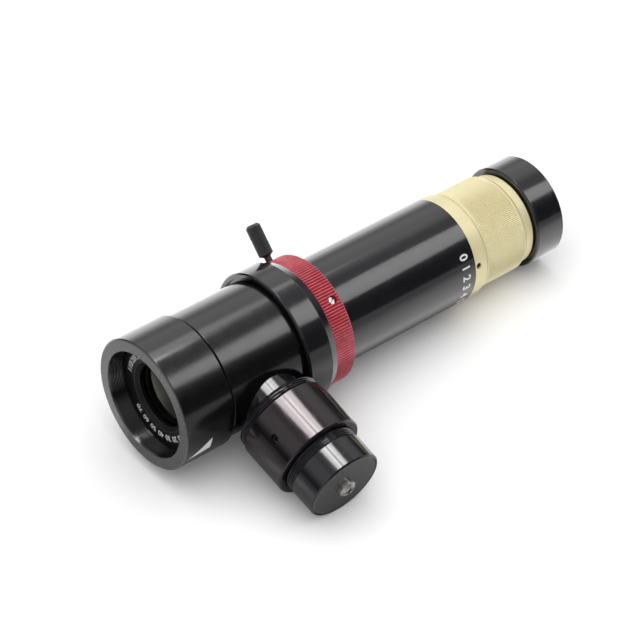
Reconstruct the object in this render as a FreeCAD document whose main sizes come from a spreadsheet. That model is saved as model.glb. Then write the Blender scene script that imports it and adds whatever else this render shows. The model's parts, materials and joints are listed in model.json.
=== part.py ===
"""Video measuring lens with a side illumination port, as separate named pieces.

Two working frames are used.  The barrel frame has its X axis on the optical axis, from the front
face towards the camera, and the port points along -Y.  The port frame has its X axis on the port
axis, from the optical axis outwards.  Every piece is turned or cut in one of them, and the last
step lays the whole lens down as it rests on a table: on the collar, the rear cap and the port plug.
"""
import FreeCAD, Part
import math
import os

import Sketcher

Vector = FreeCAD.Vector
Rotation = FreeCAD.Rotation
Placement = FreeCAD.Placement
X_AXIS = Vector(1, 0, 0)
Z_AXIS = Vector(0, 0, 1)

# Driving dimensions in millimetres; angles in degrees are measured from +Y towards +Z.
SIZES = {
    # front ring, retainer and objective
    "front_radius": 20.0,
    "front_length": 16.5,
    "filter_radius": 16.3,
    "filter_depth": 5.0,
    "inner_bore": 16.0,
    "edge_break": 0.4,
    "slip_gap": 0.05,
    "retainer_face": 5.1,
    "retainer_rear": 7.2,
    "retainer_opening": 9.7,
    "retainer_bevel": 1.0,
    "lens_radius": 11.0,
    "lens_shoulder": 13.6,
    "lens_shoulder_bore": 10.0,
    "crown_vertex": 6.0,
    "crown_curve": 38.0,
    "cement_vertex": 11.6,
    "cement_curve": 32.0,
    "flint_blank": 3.0,
    "flint_vertex": 14.0,
    "flint_curve": 120.0,
    "cell_rear": 16.4,
    # main body, beam splitter and collar
    "spigot_start": 10.6,
    "spigot_radius": 17.6,
    "groove_radius": 18.3,
    "body_start": 17.2,
    "body_radius": 19.0,
    "collar_start": 43.0,
    "collar_radius": 21.3,
    "collar_recess_radius": 19.9,
    "collar_recess_depth": 1.0,
    "body_tail_radius": 17.5,
    "body_tail_end": 48.0,
    "splitter_start": 19.0,
    "splitter_end": 43.8,
    "splitter_bore": 9.8,
    "plate_length": 28.0,
    "plate_width": 20.0,
    "plate_thickness": 1.1,
    "plate_gap": 0.05,
    # iris section
    "collar_end": 50.8,
    "taper_end": 53.5,
    "taper_radius": 20.3,
    "taper_bore": 18.0,
    "iris_sleeve_start": 51.0,
    "iris_sleeve_radius": 17.8,
    "ring_start": 53.7,
    "ring_end": 60.7,
    "ring_edge": 0.2,
    "ring_radius": 19.8,
    "ring_bore": 16.08,
    "housing_radius": 16.0,
    "housing_bore": 14.4,
    "housing_flange": 17.55,
    "housing_start": 48.1,
    "housing_spigot": 15.2,
    "housing_end": 66.0,
    "drive_station": 58.3,
    "drive_angle": 113.3,
    "drive_radius": 1.2,
    "drive_hole": 1.3,
    "drive_head": 18.7,
    "drive_foot": 13.2,
    "drive_swing": 60.0,
    "drive_slack": 6.0,
    "drive_slot_width": 0.4,
    "drive_slot_depth": 0.5,
    "actuator_start": 55.95,
    "actuator_end": 59.9,
    "actuator_radius": 14.3,
    "actuator_bore": 9.0,
    "actuator_step": 2.0,
    "actuator_web": 1.0,
    "base_start": 53.2,
    "base_end": 54.2,
    "base_bore": 8.7,
    "blade_start": 54.35,
    "blade_pitch": 0.18,
    "blade_thickness": 0.12,
    "blade_inner": 8.7,
    "blade_outer": 11.3,
    "blade_sweep": 118.0,
    "pivot_radius": 12.6,
    "pivot_pin": 0.45,
    "pivot_hole": 0.5,
    "pivot_boss": 1.0,
    "pivot_edge": 8.0,
    # iris lock
    "lock_station": 56.5,
    "lock_angle": 31.3,
    "lock_hole": 1.1,
    "lock_shank": 1.05,
    "lock_pad_foot": 16.5,
    "lock_pad_top": 17.1,
    "lock_shank_foot": 17.15,
    "lock_head_foot": 21.3,
    "lock_head_radius": 2.2,
    "lock_head_top": 31.5,
    "lock_head_bevel": 0.7,
    # rear tube and relay group
    "tube_start": 60.9,
    "tube_end": 110.4,
    "tube_radius": 16.4,
    "tube_bore": 14.6,
    "tube_socket": 15.25,
    "tube_socket_end": 66.1,
    "relay_start": 84.0,
    "relay_end": 100.0,
    "relay_radius": 14.5,
    "relay_bore": 12.1,
    "relay_lip": 10.9,
    "relay_seat": 85.5,
    "relay_lens_radius": 12.0,
    "relay_curve": 52.0,
    "relay_first_vertex": 84.6,
    "relay_first_back": 90.4,
    "relay_spacer_start": 89.3,
    "relay_spacer_end": 93.3,
    "relay_second_vertex": 92.2,
    "relay_second_back": 98.0,
    "relay_retainer_start": 96.9,
    # camera end
    "flange_start": 110.45,
    "flange_end": 115.3,
    "flange_radius": 16.1,
    "flange_spigot": 14.5,
    "flange_spigot_start": 104.0,
    "flange_bore": 11.2,
    "flange_step_radius": 15.0,
    "flange_step_end": 115.9,
    "journal_radius": 13.55,
    "journal_end": 120.4,
    "set_station": 111.9,
    "set_angle": 153.6,
    "set_radius": 0.9,
    "set_hole": 0.95,
    "set_foot": 13.2,
    "set_top": 15.6,
    "set_socket": 0.52,
    "set_socket_depth": 0.9,
    "grip_start": 116.0,
    "grip_radius": 15.3,
    "grip_bore": 13.63,
    "grip_bevel_start": 131.4,
    "grip_end": 132.6,
    "grip_end_radius": 14.6,
    "nose_start": 121.0,
    "nose_stem_radius": 13.5,
    "nose_flange_start": 132.8,
    "nose_flange_end": 135.6,
    "nose_flange_radius": 14.3,
    "mount_thread_radius": 12.7,
    "mount_thread_end": 140.0,
    "key_radius": 0.6,
    "key_hole": 0.68,
    "key_offset": 12.35,
    "key_start": 118.0,
    "key_end": 123.5,
    "key_hole_end": 126.5,
    "cap_start": 136.1,
    "cap_end": 146.6,
    "cap_radius": 16.0,
    "cap_bore": 12.85,
    "cap_floor": 144.8,
    # illumination port
    "port_station": 31.4,
    "port_hole": 10.1,
    "neck_radius": 10.0,
    "neck_foot": 13.5,
    "neck_bore": 8.4,
    "neck_thread_start": 21.45,
    "neck_thread_end": 23.8,
    "neck_thread_radius": 13.3,
    "neck_journal_radius": 11.0,
    "neck_end": 32.5,
    "light_bore": 8.0,
    "thread_depth": 0.55,
    "sleeve_start": 23.9,
    "sleeve_end": 40.0,
    "sleeve_radius": 13.9,
    "sleeve_bore": 11.08,
    "sleeve_web_start": 33.6,
    "sleeve_web_end": 35.0,
    "sleeve_web_bore": 9.4,
    "sleeve_thread_bore": 11.85,
    "sleeve_screw_station": 32.1,
    "sleeve_screw_angle": 146.5,
    "sleeve_screw_hole": 1.3,
    "sleeve_screw_radius": 1.25,
    "sleeve_screw_foot": 11.2,
    "sleeve_screw_top": 12.7,
    "sleeve_socket": 0.75,
    "condenser_start": 17.0,
    "condenser_end": 28.0,
    "condenser_cell_radius": 8.33,
    "condenser_lip": 6.6,
    "condenser_seat": 18.4,
    "condenser_lens_radius": 7.4,
    "condenser_curve": 22.0,
    "condenser_vertex": 18.0,
    "condenser_back": 24.0,
    "plug_foot": 35.2,
    "plug_radius": 11.7,
    "plug_thread_end": 43.2,
    "plug_bore": 10.2,
    "plug_web_start": 47.0,
    "plug_web_end": 49.8,
    "plug_web_bore": 9.05,
    "plug_face_bore": 11.05,
    "plug_end": 51.4,
    "slug_foot": 41.0,
    "slug_radius": 9.0,
    "slug_face_radius": 10.95,
    "slug_face_start": 49.9,
    "slug_groove_start": 45.9,
    "slug_groove_end": 46.8,
    "slug_groove_radius": 8.2,
    "clip_radius": 9.9,
    "clip_start": 46.0,
    "clip_end": 46.7,
    "clip_bore": 8.25,
    "end_screw_radius": 2.7,
    "end_screw_height": 2.0,
    "end_screw_shank": 1.2,
    "end_screw_hole": 1.25,
    "end_screw_foot": 44.5,
    "end_slot_width": 0.6,
    "end_slot_depth": 0.8,
}
BLADE_COUNT = 8
SET_SCREW_COUNT = 3
HEXAGON = 6
NECK_RIDGES = 3
PLUG_RIDGES = 4
CREST_SHARE = (0.4, 0.6)           # where a thread's crest starts and ends within its pitch


class Size(float):
    """A length that carries the spreadsheet expression it comes from."""

    def __new__(cls, value, text):
        size = super().__new__(cls, value)
        size.text = text
        return size

    def __add__(self, other):
        return Size(float(self) + float(other), "%s + (%s)" % (self.text, words(other)))

    def __sub__(self, other):
        return Size(float(self) - float(other), "%s - (%s)" % (self.text, words(other)))

    def __mul__(self, factor):
        return Size(float(self) * float(factor), "(%s) * %s" % (self.text, words(factor)))

    def __truediv__(self, divisor):
        return Size(float(self) / float(divisor), "(%s) / %s" % (self.text, words(divisor)))

    def __neg__(self):
        return Size(-float(self), "-(%s)" % self.text)


def words(value):
    """The expression text of a size, or the digits of a plain number."""
    return value.text if isinstance(value, Size) else repr(float(value))


class Dimensions:
    """The spreadsheet's cells as attributes, each one a Size."""

    def __init__(self, document):
        sheet = document.addObject("Spreadsheet::Sheet", "Sizes")
        for row, (name, value) in enumerate(SIZES.items(), start=1):
            sheet.set("A%d" % row, name)
            sheet.set("B%d" % row, str(value))
            sheet.setAlias("B%d" % row, name)
            setattr(self, name, Size(value, "Sizes.%s" % name))
        document.recompute()


document = FreeCAD.newDocument("MeasuringLens")
dim = Dimensions(document)
BEYOND = dim.front_radius + dim.filter_depth    # past any wall, so a cut breaks through
nodes = []                          # (object, placement in the barrel frame) of every sub-part


def bind(item, path, size):
    """Set one property of an object from a size, keeping its expression."""
    item.setExpression(path, words(size))


def keep(item, label, place=Placement()):
    """Name a finished sub-part and remember where it sits in the barrel frame."""
    item.Label = label
    nodes.append((item, place))
    return item


def plane_of(body, role):
    """One of a body's own origin planes or axes, found by its role."""
    return next(feature for feature in body.Origin.OriginFeatures if feature.Role == role)


def polygon_sketch(body, corners, role="XY_Plane", lift=0.0):
    """A closed polygon whose corners are bound to sizes, on an origin plane raised by lift."""
    sketch = body.newObject("Sketcher::SketchObject", "Profile")
    sketch.AttachmentSupport = [(plane_of(body, role), "")]
    sketch.MapMode = "FlatFace"
    if float(lift):
        bind(sketch, "AttachmentOffset.Base.z", lift)
    count = len(corners)
    for index, corner in enumerate(corners):
        following = corners[(index + 1) % count]
        line = Part.LineSegment(Vector(*map(float, corner)), Vector(*map(float, following)))
        sketch.addGeometry(line, False)
    for index in range(count):
        sketch.addConstraint(Sketcher.Constraint("Coincident", index, 2, (index + 1) % count, 1))
    for index, corner in enumerate(corners):
        for kind, axis, size in (("DistanceX", -2, corner[0]), ("DistanceY", -1, corner[1])):
            if float(size) == 0.0:
                sketch.addConstraint(Sketcher.Constraint("PointOnObject", index, 1, axis))
                continue
            number = sketch.addConstraint(Sketcher.Constraint(kind, -1, 1, index, 1, float(size)))
            bind(sketch, "Constraints[%d]" % number, size)
    return sketch


def turned(label, profile, place=Placement()):
    """A lathe-turned piece: the (x, radius) profile revolved about the body's X axis."""
    body = document.addObject("PartDesign::Body", label)
    sketch = polygon_sketch(body, profile)
    revolution = body.newObject("PartDesign::Revolution", "Turning")
    revolution.Profile = sketch
    revolution.ReferenceAxis = (sketch, ["H_Axis"])
    revolution.Angle = 360.0
    document.recompute()
    return keep(body, label, place)


def cut(body, sketch, depth):
    """Pocket a sketch against its normal and make sure that it removes material."""
    before = body.Shape.Volume
    pocket = body.newObject("PartDesign::Pocket", "Cut")
    pocket.Profile = sketch
    bind(pocket, "Length", depth)
    document.recompute()
    if body.Shape.Volume >= before:
        raise RuntimeError("a cut in %s removes nothing" % body.Label)
    return pocket


def circle_sketch(body, role, offset, centre, radius):
    """A circle bound to sizes, centred on the sketch's own X axis."""
    sketch = body.newObject("Sketcher::SketchObject", "Circle")
    sketch.AttachmentSupport = [(plane_of(body, role), "")]
    sketch.MapMode = "FlatFace"
    sketch.AttachmentOffset = offset
    sketch.addGeometry(Part.Circle(Vector(float(centre), 0, 0), Z_AXIS, float(radius)), False)
    sketch.addConstraint(Sketcher.Constraint("PointOnObject", 0, 3, -1))
    place = sketch.addConstraint(Sketcher.Constraint("DistanceX", -1, 1, 0, 3, float(centre)))
    bind(sketch, "Constraints[%d]" % place, centre)
    size = sketch.addConstraint(Sketcher.Constraint("Radius", 0, float(radius)))
    bind(sketch, "Constraints[%d]" % size, radius)
    return sketch


def drill(body, station, angle, radius, floor):
    """A radial hole from outside down to the floor radius, at an angle about the X axis."""
    turn = math.radians(float(angle))
    lift = Vector(0, math.cos(turn), math.sin(turn)) * float(BEYOND)
    offset = Placement(lift, Rotation(X_AXIS, float(angle) - 90.0))
    sketch = circle_sketch(body, "XY_Plane", offset, station, radius)
    return cut(body, sketch, BEYOND - floor)


def slot(body, top, width, depth):
    """A screwdriver slot across the end of a turned screw."""
    sketch = polygon_sketch(body, [
        (top - depth, -width / 2.0), (top + depth, -width / 2.0),
        (top + depth, width / 2.0), (top - depth, width / 2.0)], lift=BEYOND)
    cut(body, sketch, BEYOND * 2.0)


def hex_socket(body, top, radius, depth):
    """A hexagonal key socket in the end of a turned screw; radius is to the corners."""
    corners = []
    for corner in range(HEXAGON):
        turn = 2.0 * math.pi * corner / HEXAGON
        corners.append((radius * math.cos(turn), radius * math.sin(turn)))
    cut(body, polygon_sketch(body, corners, "YZ_Plane", top), depth)


def bore_beside_axis(body, end, offset_radius, radius, depth):
    """A hole parallel to the X axis, drilled towards -X from the plane at end."""
    offset = Placement(Vector(0, 0, float(end)), Rotation())
    sketch = circle_sketch(body, "YZ_Plane", offset, offset_radius, radius)
    return cut(body, sketch, depth)


def repeat(body, feature, count):
    """Repeat a feature round the body's X axis."""
    pattern = body.newObject("PartDesign::PolarPattern", "Pattern")
    pattern.Originals = [feature]
    pattern.Axis = (plane_of(body, "X_Axis"), [""])
    pattern.Angle = 360.0
    pattern.Occurrences = count
    body.Tip = pattern
    document.recompute()


def along_x(start, place=Placement()):
    """Placement of a Part primitive whose own Z axis is laid on the X axis from start."""
    return place.multiply(Placement(Vector(float(start), 0, 0), Rotation(Vector(0, 1, 0), 90)))


def cylinder(radius, start, end):
    """A Part cylinder on the X axis between two stations."""
    solid = document.addObject("Part::Cylinder", "Blank")
    bind(solid, "Radius", radius)
    bind(solid, "Height", end - start)
    solid.Placement = along_x(start)
    bind(solid, "Placement.Base.x", start)
    return solid


def ball(radius, centre):
    """A Part sphere centred on the X axis."""
    solid = document.addObject("Part::Sphere", "Surface")
    bind(solid, "Radius", radius)
    bind(solid, "Placement.Base.x", centre)
    return solid


def boolean(kind, base, tool):
    """A Part boolean of two objects."""
    result = document.addObject(kind, "Step")
    result.Base = base
    result.Tool = tool
    return result


def convex_lens(label, radius, vertex, back, front_curve, rear_curve, place=Placement()):
    """A biconvex element: a cylinder held between two spheres that touch its vertices."""
    blank = cylinder(radius, vertex, back)
    front = boolean("Part::Common", blank, ball(front_curve, vertex + front_curve))
    return keep(boolean("Part::Common", front, ball(rear_curve, back - rear_curve)), label, place)


def ridges(start, end, crest, depth, count):
    """Profile corners of fine thread crests between two stations."""
    pitch = (end - start) / count
    rise, fall = CREST_SHARE
    corners = []
    for index in range(count):
        foot = start + pitch * index
        corners += [(foot, crest - depth), (foot + pitch * rise, crest), (foot + pitch * fall, crest)]
    return corners + [(end, crest - depth)]


def build_front():
    """Front ring, objective cell, doublet and its engraved retainer."""
    d = dim
    turned("front_ring", [
        (d.edge_break, d.filter_radius), (0, d.filter_radius + d.edge_break),
        (0, d.front_radius - d.edge_break),
        (d.edge_break, d.front_radius), (d.front_length, d.front_radius),
        (d.front_length, d.spigot_radius + d.slip_gap),
        (d.spigot_start - d.slip_gap, d.spigot_radius + d.slip_gap),
        (d.spigot_start - d.slip_gap, d.inner_bore), (d.filter_depth, d.inner_bore),
        (d.filter_depth, d.filter_radius)])
    rim = d.inner_bore - d.slip_gap
    turned("objective_retainer", [
        (d.retainer_face, d.retainer_opening + d.retainer_bevel), (d.retainer_face, rim),
        (d.retainer_rear, rim), (d.retainer_rear, d.retainer_opening),
        (d.retainer_face + d.retainer_bevel, d.retainer_opening)])
    turned("objective_cell", [
        (d.retainer_rear, d.lens_radius + d.slip_gap), (d.retainer_rear, rim), (d.cell_rear, rim),
        (d.cell_rear, d.lens_shoulder_bore), (d.lens_shoulder, d.lens_shoulder_bore),
        (d.lens_shoulder, d.lens_radius + d.slip_gap)])
    convex_lens("objective_crown", d.lens_radius, d.crown_vertex, d.cement_vertex,
                d.crown_curve, d.cement_curve)
    cement = d.cement_vertex + d.slip_gap
    blank = cylinder(d.lens_radius, d.cement_vertex - d.flint_blank, d.flint_vertex)
    hollow = boolean("Part::Cut", blank, ball(d.cement_curve, cement - d.cement_curve))
    keep(boolean("Part::Common", hollow, ball(d.flint_curve, d.flint_vertex - d.flint_curve)),
         "objective_flint")


def build_body():
    """Beam splitter housing, the splitter in its frame, and the collar behind them."""
    d = dim
    body = turned("main_body", [
        (d.spigot_start, d.inner_bore), (d.spigot_start, d.spigot_radius),
        (d.front_length, d.spigot_radius), (d.front_length, d.groove_radius),
        (d.body_start, d.groove_radius), (d.body_start, d.body_radius - d.edge_break),
        (d.body_start + d.edge_break, d.body_radius), (d.collar_start + d.collar_recess_depth, d.body_radius),
        (d.collar_start + d.collar_recess_depth, d.body_tail_radius),
        (d.body_tail_end, d.body_tail_radius), (d.body_tail_end, d.inner_bore)])
    drill(body, d.port_station, 180.0, d.port_hole, 0.0)
    rim = d.inner_bore - d.slip_gap
    frame = turned("splitter_frame", [
        (d.splitter_start, d.splitter_bore), (d.splitter_start, rim),
        (d.splitter_end, rim), (d.splitter_end, d.splitter_bore)])
    drill(frame, d.port_station, 180.0, d.light_bore, 0.0)
    drill(frame, d.port_station, 180.0, d.port_hole, d.neck_foot - d.slip_gap)
    half = (d.plate_length + d.plate_gap * 2.0) / 2.0
    thick = (d.plate_thickness + d.plate_gap * 2.0) / 2.0
    diagonal = math.sqrt(0.5)
    corners = []
    for run, rise in ((1, 1), (1, -1), (-1, -1), (-1, 1)):
        along = d.port_station + half * (run * diagonal) + thick * (rise * diagonal)
        across = half * (-run * diagonal) + thick * (rise * diagonal)
        corners.append((along, across))
    seat = polygon_sketch(frame, corners, lift=BEYOND)
    cut(frame, seat, BEYOND + d.plate_width / 2.0 + d.plate_gap)
    plate = document.addObject("Part::Box", "splitter_plate")
    bind(plate, "Length", d.plate_length)
    bind(plate, "Width", d.plate_thickness)
    bind(plate, "Height", d.plate_width)
    corner = Placement(Vector(-d.plate_length / 2, -d.plate_thickness / 2, -d.plate_width / 2), Rotation())
    keep(plate, "splitter_plate",
         Placement(Vector(d.port_station, 0, 0), Rotation(Z_AXIS, -45)).multiply(corner))
    turned("collar", [
        (d.collar_start, d.collar_recess_radius), (d.collar_start, d.collar_radius - d.edge_break),
        (d.collar_start + d.edge_break, d.collar_radius), (d.collar_end, d.collar_radius),
        (d.collar_end, d.body_tail_radius + d.slip_gap * 2),
        (d.collar_start + d.collar_recess_depth, d.body_tail_radius + d.slip_gap * 2),
        (d.collar_start + d.collar_recess_depth, d.collar_recess_radius)])


def build_iris():
    """Iris housing, base plate, blades, actuator, grip ring, its screw and its lock."""
    d = dim
    turned("taper_ring", [
        (d.collar_end, d.taper_bore), (d.collar_end, d.collar_radius - d.slip_gap * 2),
        (d.collar_end + d.slip_gap * 2, d.collar_radius), (d.taper_end, d.taper_radius),
        (d.taper_end, d.taper_bore)])
    housing = turned("iris_housing", [
        (d.housing_start, d.housing_bore), (d.housing_start, d.housing_flange),
        (d.collar_end, d.housing_flange), (d.collar_end, d.housing_radius),
        (d.tube_start - d.slip_gap, d.housing_radius), (d.tube_start - d.slip_gap, d.housing_spigot),
        (d.housing_end, d.housing_spigot), (d.housing_end, d.housing_bore)])
    first = math.radians(float(d.drive_angle - d.drive_slack))
    last = math.radians(float(d.drive_angle + d.drive_swing + d.drive_slack))
    wedge = [(0, 0)] + [(BEYOND * math.cos(turn), BEYOND * math.sin(turn))
                        for turn in (first, (first + last) / 2, last)]
    window = polygon_sketch(housing, wedge, "YZ_Plane", d.drive_station + d.drive_hole)
    cut(housing, window, d.drive_hole * 2.0)
    base = turned("iris_base_plate", [
        (d.base_start, d.base_bore), (d.base_start, d.housing_bore - d.slip_gap),
        (d.base_end, d.housing_bore - d.slip_gap), (d.base_end, d.base_bore)])
    pivot = bore_beside_axis(base, d.base_end, d.pivot_radius, d.pivot_hole, d.base_end - d.base_start)
    repeat(base, pivot, BLADE_COUNT)
    for index in range(BLADE_COUNT):
        build_blade(index)
    web_end = d.actuator_start + d.actuator_web
    step = d.actuator_bore + d.actuator_step
    actuator = turned("iris_actuator", [
        (d.actuator_start, d.actuator_bore), (d.actuator_start, d.actuator_radius),
        (d.actuator_end, d.actuator_radius), (d.actuator_end, step),
        (web_end, step), (web_end, d.actuator_bore)])
    drill(actuator, d.drive_station, d.drive_angle, d.drive_hole, d.drive_foot - d.slip_gap)
    grip = turned("iris_ring", [
        (d.iris_sleeve_start, d.ring_bore), (d.iris_sleeve_start, d.iris_sleeve_radius),
        (d.ring_start, d.iris_sleeve_radius), (d.ring_start, d.ring_radius - d.ring_edge),
        (d.ring_start + d.ring_edge, d.ring_radius), (d.ring_end - d.ring_edge, d.ring_radius),
        (d.ring_end, d.ring_radius - d.ring_edge), (d.ring_end, d.ring_bore)])
    drill(grip, d.drive_station, d.drive_angle, d.drive_hole, 0.0)
    drill(grip, d.lock_station, d.lock_angle, d.lock_hole, 0.0)
    screw = turned("iris_drive_screw", [
        (d.drive_foot, 0), (d.drive_foot, d.drive_radius), (d.drive_head, d.drive_radius),
        (d.drive_head, 0)], radial(d.drive_station, d.drive_angle))
    slot(screw, d.drive_head, d.drive_slot_width, d.drive_slot_depth)
    lock_place = radial(d.lock_station, d.lock_angle)
    turned("lock_pad", [
        (d.lock_pad_foot, 0), (d.lock_pad_foot, d.lock_shank), (d.lock_pad_top, d.lock_shank),
        (d.lock_pad_top, 0)], lock_place)
    turned("lock_screw", [
        (d.lock_shank_foot, 0), (d.lock_shank_foot, d.lock_shank), (d.lock_head_foot, d.lock_shank),
        (d.lock_head_foot + d.lock_head_bevel, d.lock_head_radius),
        (d.lock_head_top - d.lock_head_bevel, d.lock_head_radius),
        (d.lock_head_top, d.lock_head_radius - d.lock_head_bevel), (d.lock_head_top, 0)], lock_place)


def build_blade(index):
    """One iris blade: an arc-shaped leaf with a boss and a pivot pin, in its own thin layer."""
    d = dim
    near = d.blade_start + d.blade_pitch * index
    far = near + d.blade_thickness
    leaf = cylinder(d.blade_outer, near, far)
    bind(leaf, "Angle", d.blade_sweep)
    band = boolean("Part::Cut", leaf, cylinder(d.blade_inner, near, far))
    boss = cylinder(d.pivot_boss, near, far)
    pin = cylinder(d.pivot_pin, d.base_start + d.slip_gap, far)
    # a Part cylinder laid on X starts its sector at -Z, so the boss sits just inside that edge
    edge = math.radians(float(d.pivot_edge))
    for piece in (boss, pin):
        bind(piece, "Placement.Base.y", d.pivot_radius * math.sin(edge))
        bind(piece, "Placement.Base.z", -(d.pivot_radius * math.cos(edge)))
    arm = document.addObject("Part::Box", "Arm")
    bind(arm, "Length", d.pivot_radius - d.blade_inner - d.slip_gap)
    bind(arm, "Width", d.pivot_boss * 2.0)
    bind(arm, "Height", d.blade_thickness)
    lean = Rotation(X_AXIS, math.degrees(edge))
    laid = Rotation(Vector(0, 0, -1), Vector(0, 1, 0), X_AXIS, "ZXY")
    start = lean.multVec(Vector(0, -d.pivot_boss, -(d.blade_inner + d.slip_gap)))
    arm.Placement = Placement(Vector(near, start.y, start.z), lean.multiply(laid))
    bind(arm, "Placement.Base.x", near)
    blade = document.addObject("Part::MultiFuse", "Blade")
    blade.Shapes = [band, boss, pin, arm]
    turn = index * 360.0 / BLADE_COUNT - float(d.pivot_edge) + 90.0
    keep(blade, "iris_blade_%d" % (index + 1), Placement(Vector(), Rotation(X_AXIS, turn)))


def radial(station, angle):
    """Frame whose X axis runs outwards along a radius of the barrel at an angle."""
    turn = Rotation(X_AXIS, float(angle)).multiply(Rotation(Z_AXIS, 90))
    return Placement(Vector(float(station), 0, 0), turn)


def build_rear():
    """Rear tube with its relay group."""
    d = dim
    turned("rear_tube", [
        (d.tube_start, d.tube_socket), (d.tube_start, d.tube_radius),
        (d.tube_end - d.slip_gap, d.tube_radius), (d.tube_end, d.tube_radius - d.slip_gap),
        (d.tube_end, d.tube_bore),
        (d.tube_socket_end, d.tube_bore), (d.tube_socket_end, d.tube_socket)])
    turned("relay_cell", [
        (d.relay_start, d.relay_lip), (d.relay_start, d.relay_radius), (d.relay_end, d.relay_radius),
        (d.relay_end, d.relay_bore), (d.relay_seat, d.relay_bore), (d.relay_seat, d.relay_lip)])
    convex_lens("relay_front_lens", d.relay_lens_radius, d.relay_first_vertex, d.relay_first_back,
                d.relay_curve, d.relay_curve)
    convex_lens("relay_rear_lens", d.relay_lens_radius, d.relay_second_vertex, d.relay_second_back,
                d.relay_curve, d.relay_curve)
    for label, start, end in (("relay_spacer", d.relay_spacer_start, d.relay_spacer_end),
                              ("relay_retainer", d.relay_retainer_start, d.relay_end)):
        turned(label, [(start, d.relay_lip), (start, d.relay_lens_radius),
                       (end, d.relay_lens_radius), (end, d.relay_lip)])


def build_camera_end():
    """Mount flange with its set screws, focus grip, keyed nose with the camera thread, and cap."""
    d = dim
    flange = turned("mount_flange", [
        (d.flange_spigot_start, d.flange_bore), (d.flange_spigot_start, d.flange_spigot),
        (d.flange_start, d.flange_spigot), (d.flange_start, d.flange_radius - d.slip_gap * 2),
        (d.flange_start + d.slip_gap * 2, d.flange_radius), (d.flange_end - d.edge_break, d.flange_radius),
        (d.flange_end, d.flange_radius - d.edge_break), (d.flange_end, d.flange_step_radius),
        (d.flange_step_end, d.flange_step_radius), (d.flange_step_end, d.journal_radius),
        (d.journal_end, d.journal_radius), (d.journal_end, d.flange_bore)])
    hole = drill(flange, d.set_station, d.set_angle, d.set_hole, d.set_foot - d.slip_gap)
    repeat(flange, hole, SET_SCREW_COUNT)
    key_depth = d.journal_end - d.key_start + d.slip_gap
    bore_beside_axis(flange, d.journal_end, d.key_offset, d.key_hole, key_depth)
    for index in range(SET_SCREW_COUNT):
        screw = turned("mount_set_screw_%d" % (index + 1), [
            (d.set_foot, 0), (d.set_foot, d.set_radius), (d.set_top, d.set_radius), (d.set_top, 0)],
            radial(d.set_station, float(d.set_angle) + index * 360.0 / SET_SCREW_COUNT))
        hex_socket(screw, d.set_top, d.set_socket, d.set_socket_depth)
    turned("focus_key_pin", [
        (d.key_start, 0), (d.key_start, d.key_radius), (d.key_end, d.key_radius), (d.key_end, 0)],
        Placement(Vector(0, d.key_offset, 0), Rotation()))
    turned("focus_grip", [
        (d.grip_start, d.grip_bore), (d.grip_start, d.grip_radius - d.edge_break),
        (d.grip_start + d.edge_break, d.grip_radius), (d.grip_bevel_start, d.grip_radius),
        (d.grip_end, d.grip_end_radius), (d.grip_end, d.grip_bore)])
    nose = turned("camera_nose", [
        (d.nose_start, d.flange_bore), (d.nose_start, d.nose_stem_radius),
        (d.nose_flange_start, d.nose_stem_radius), (d.nose_flange_start, d.nose_flange_radius),
        (d.nose_flange_end, d.nose_flange_radius), (d.nose_flange_end, d.mount_thread_radius),
        (d.mount_thread_end, d.mount_thread_radius), (d.mount_thread_end, d.flange_bore)])
    bore_beside_axis(nose, d.key_hole_end, d.key_offset, d.key_hole, d.key_hole_end - d.nose_start)
    turned("rear_cap", [
        (d.cap_start, d.cap_bore), (d.cap_start, d.cap_radius - d.edge_break),
        (d.cap_start + d.edge_break, d.cap_radius), (d.cap_end - d.edge_break, d.cap_radius),
        (d.cap_end, d.cap_radius - d.edge_break), (d.cap_end, 0), (d.cap_floor, 0),
        (d.cap_floor, d.cap_bore)])


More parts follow.
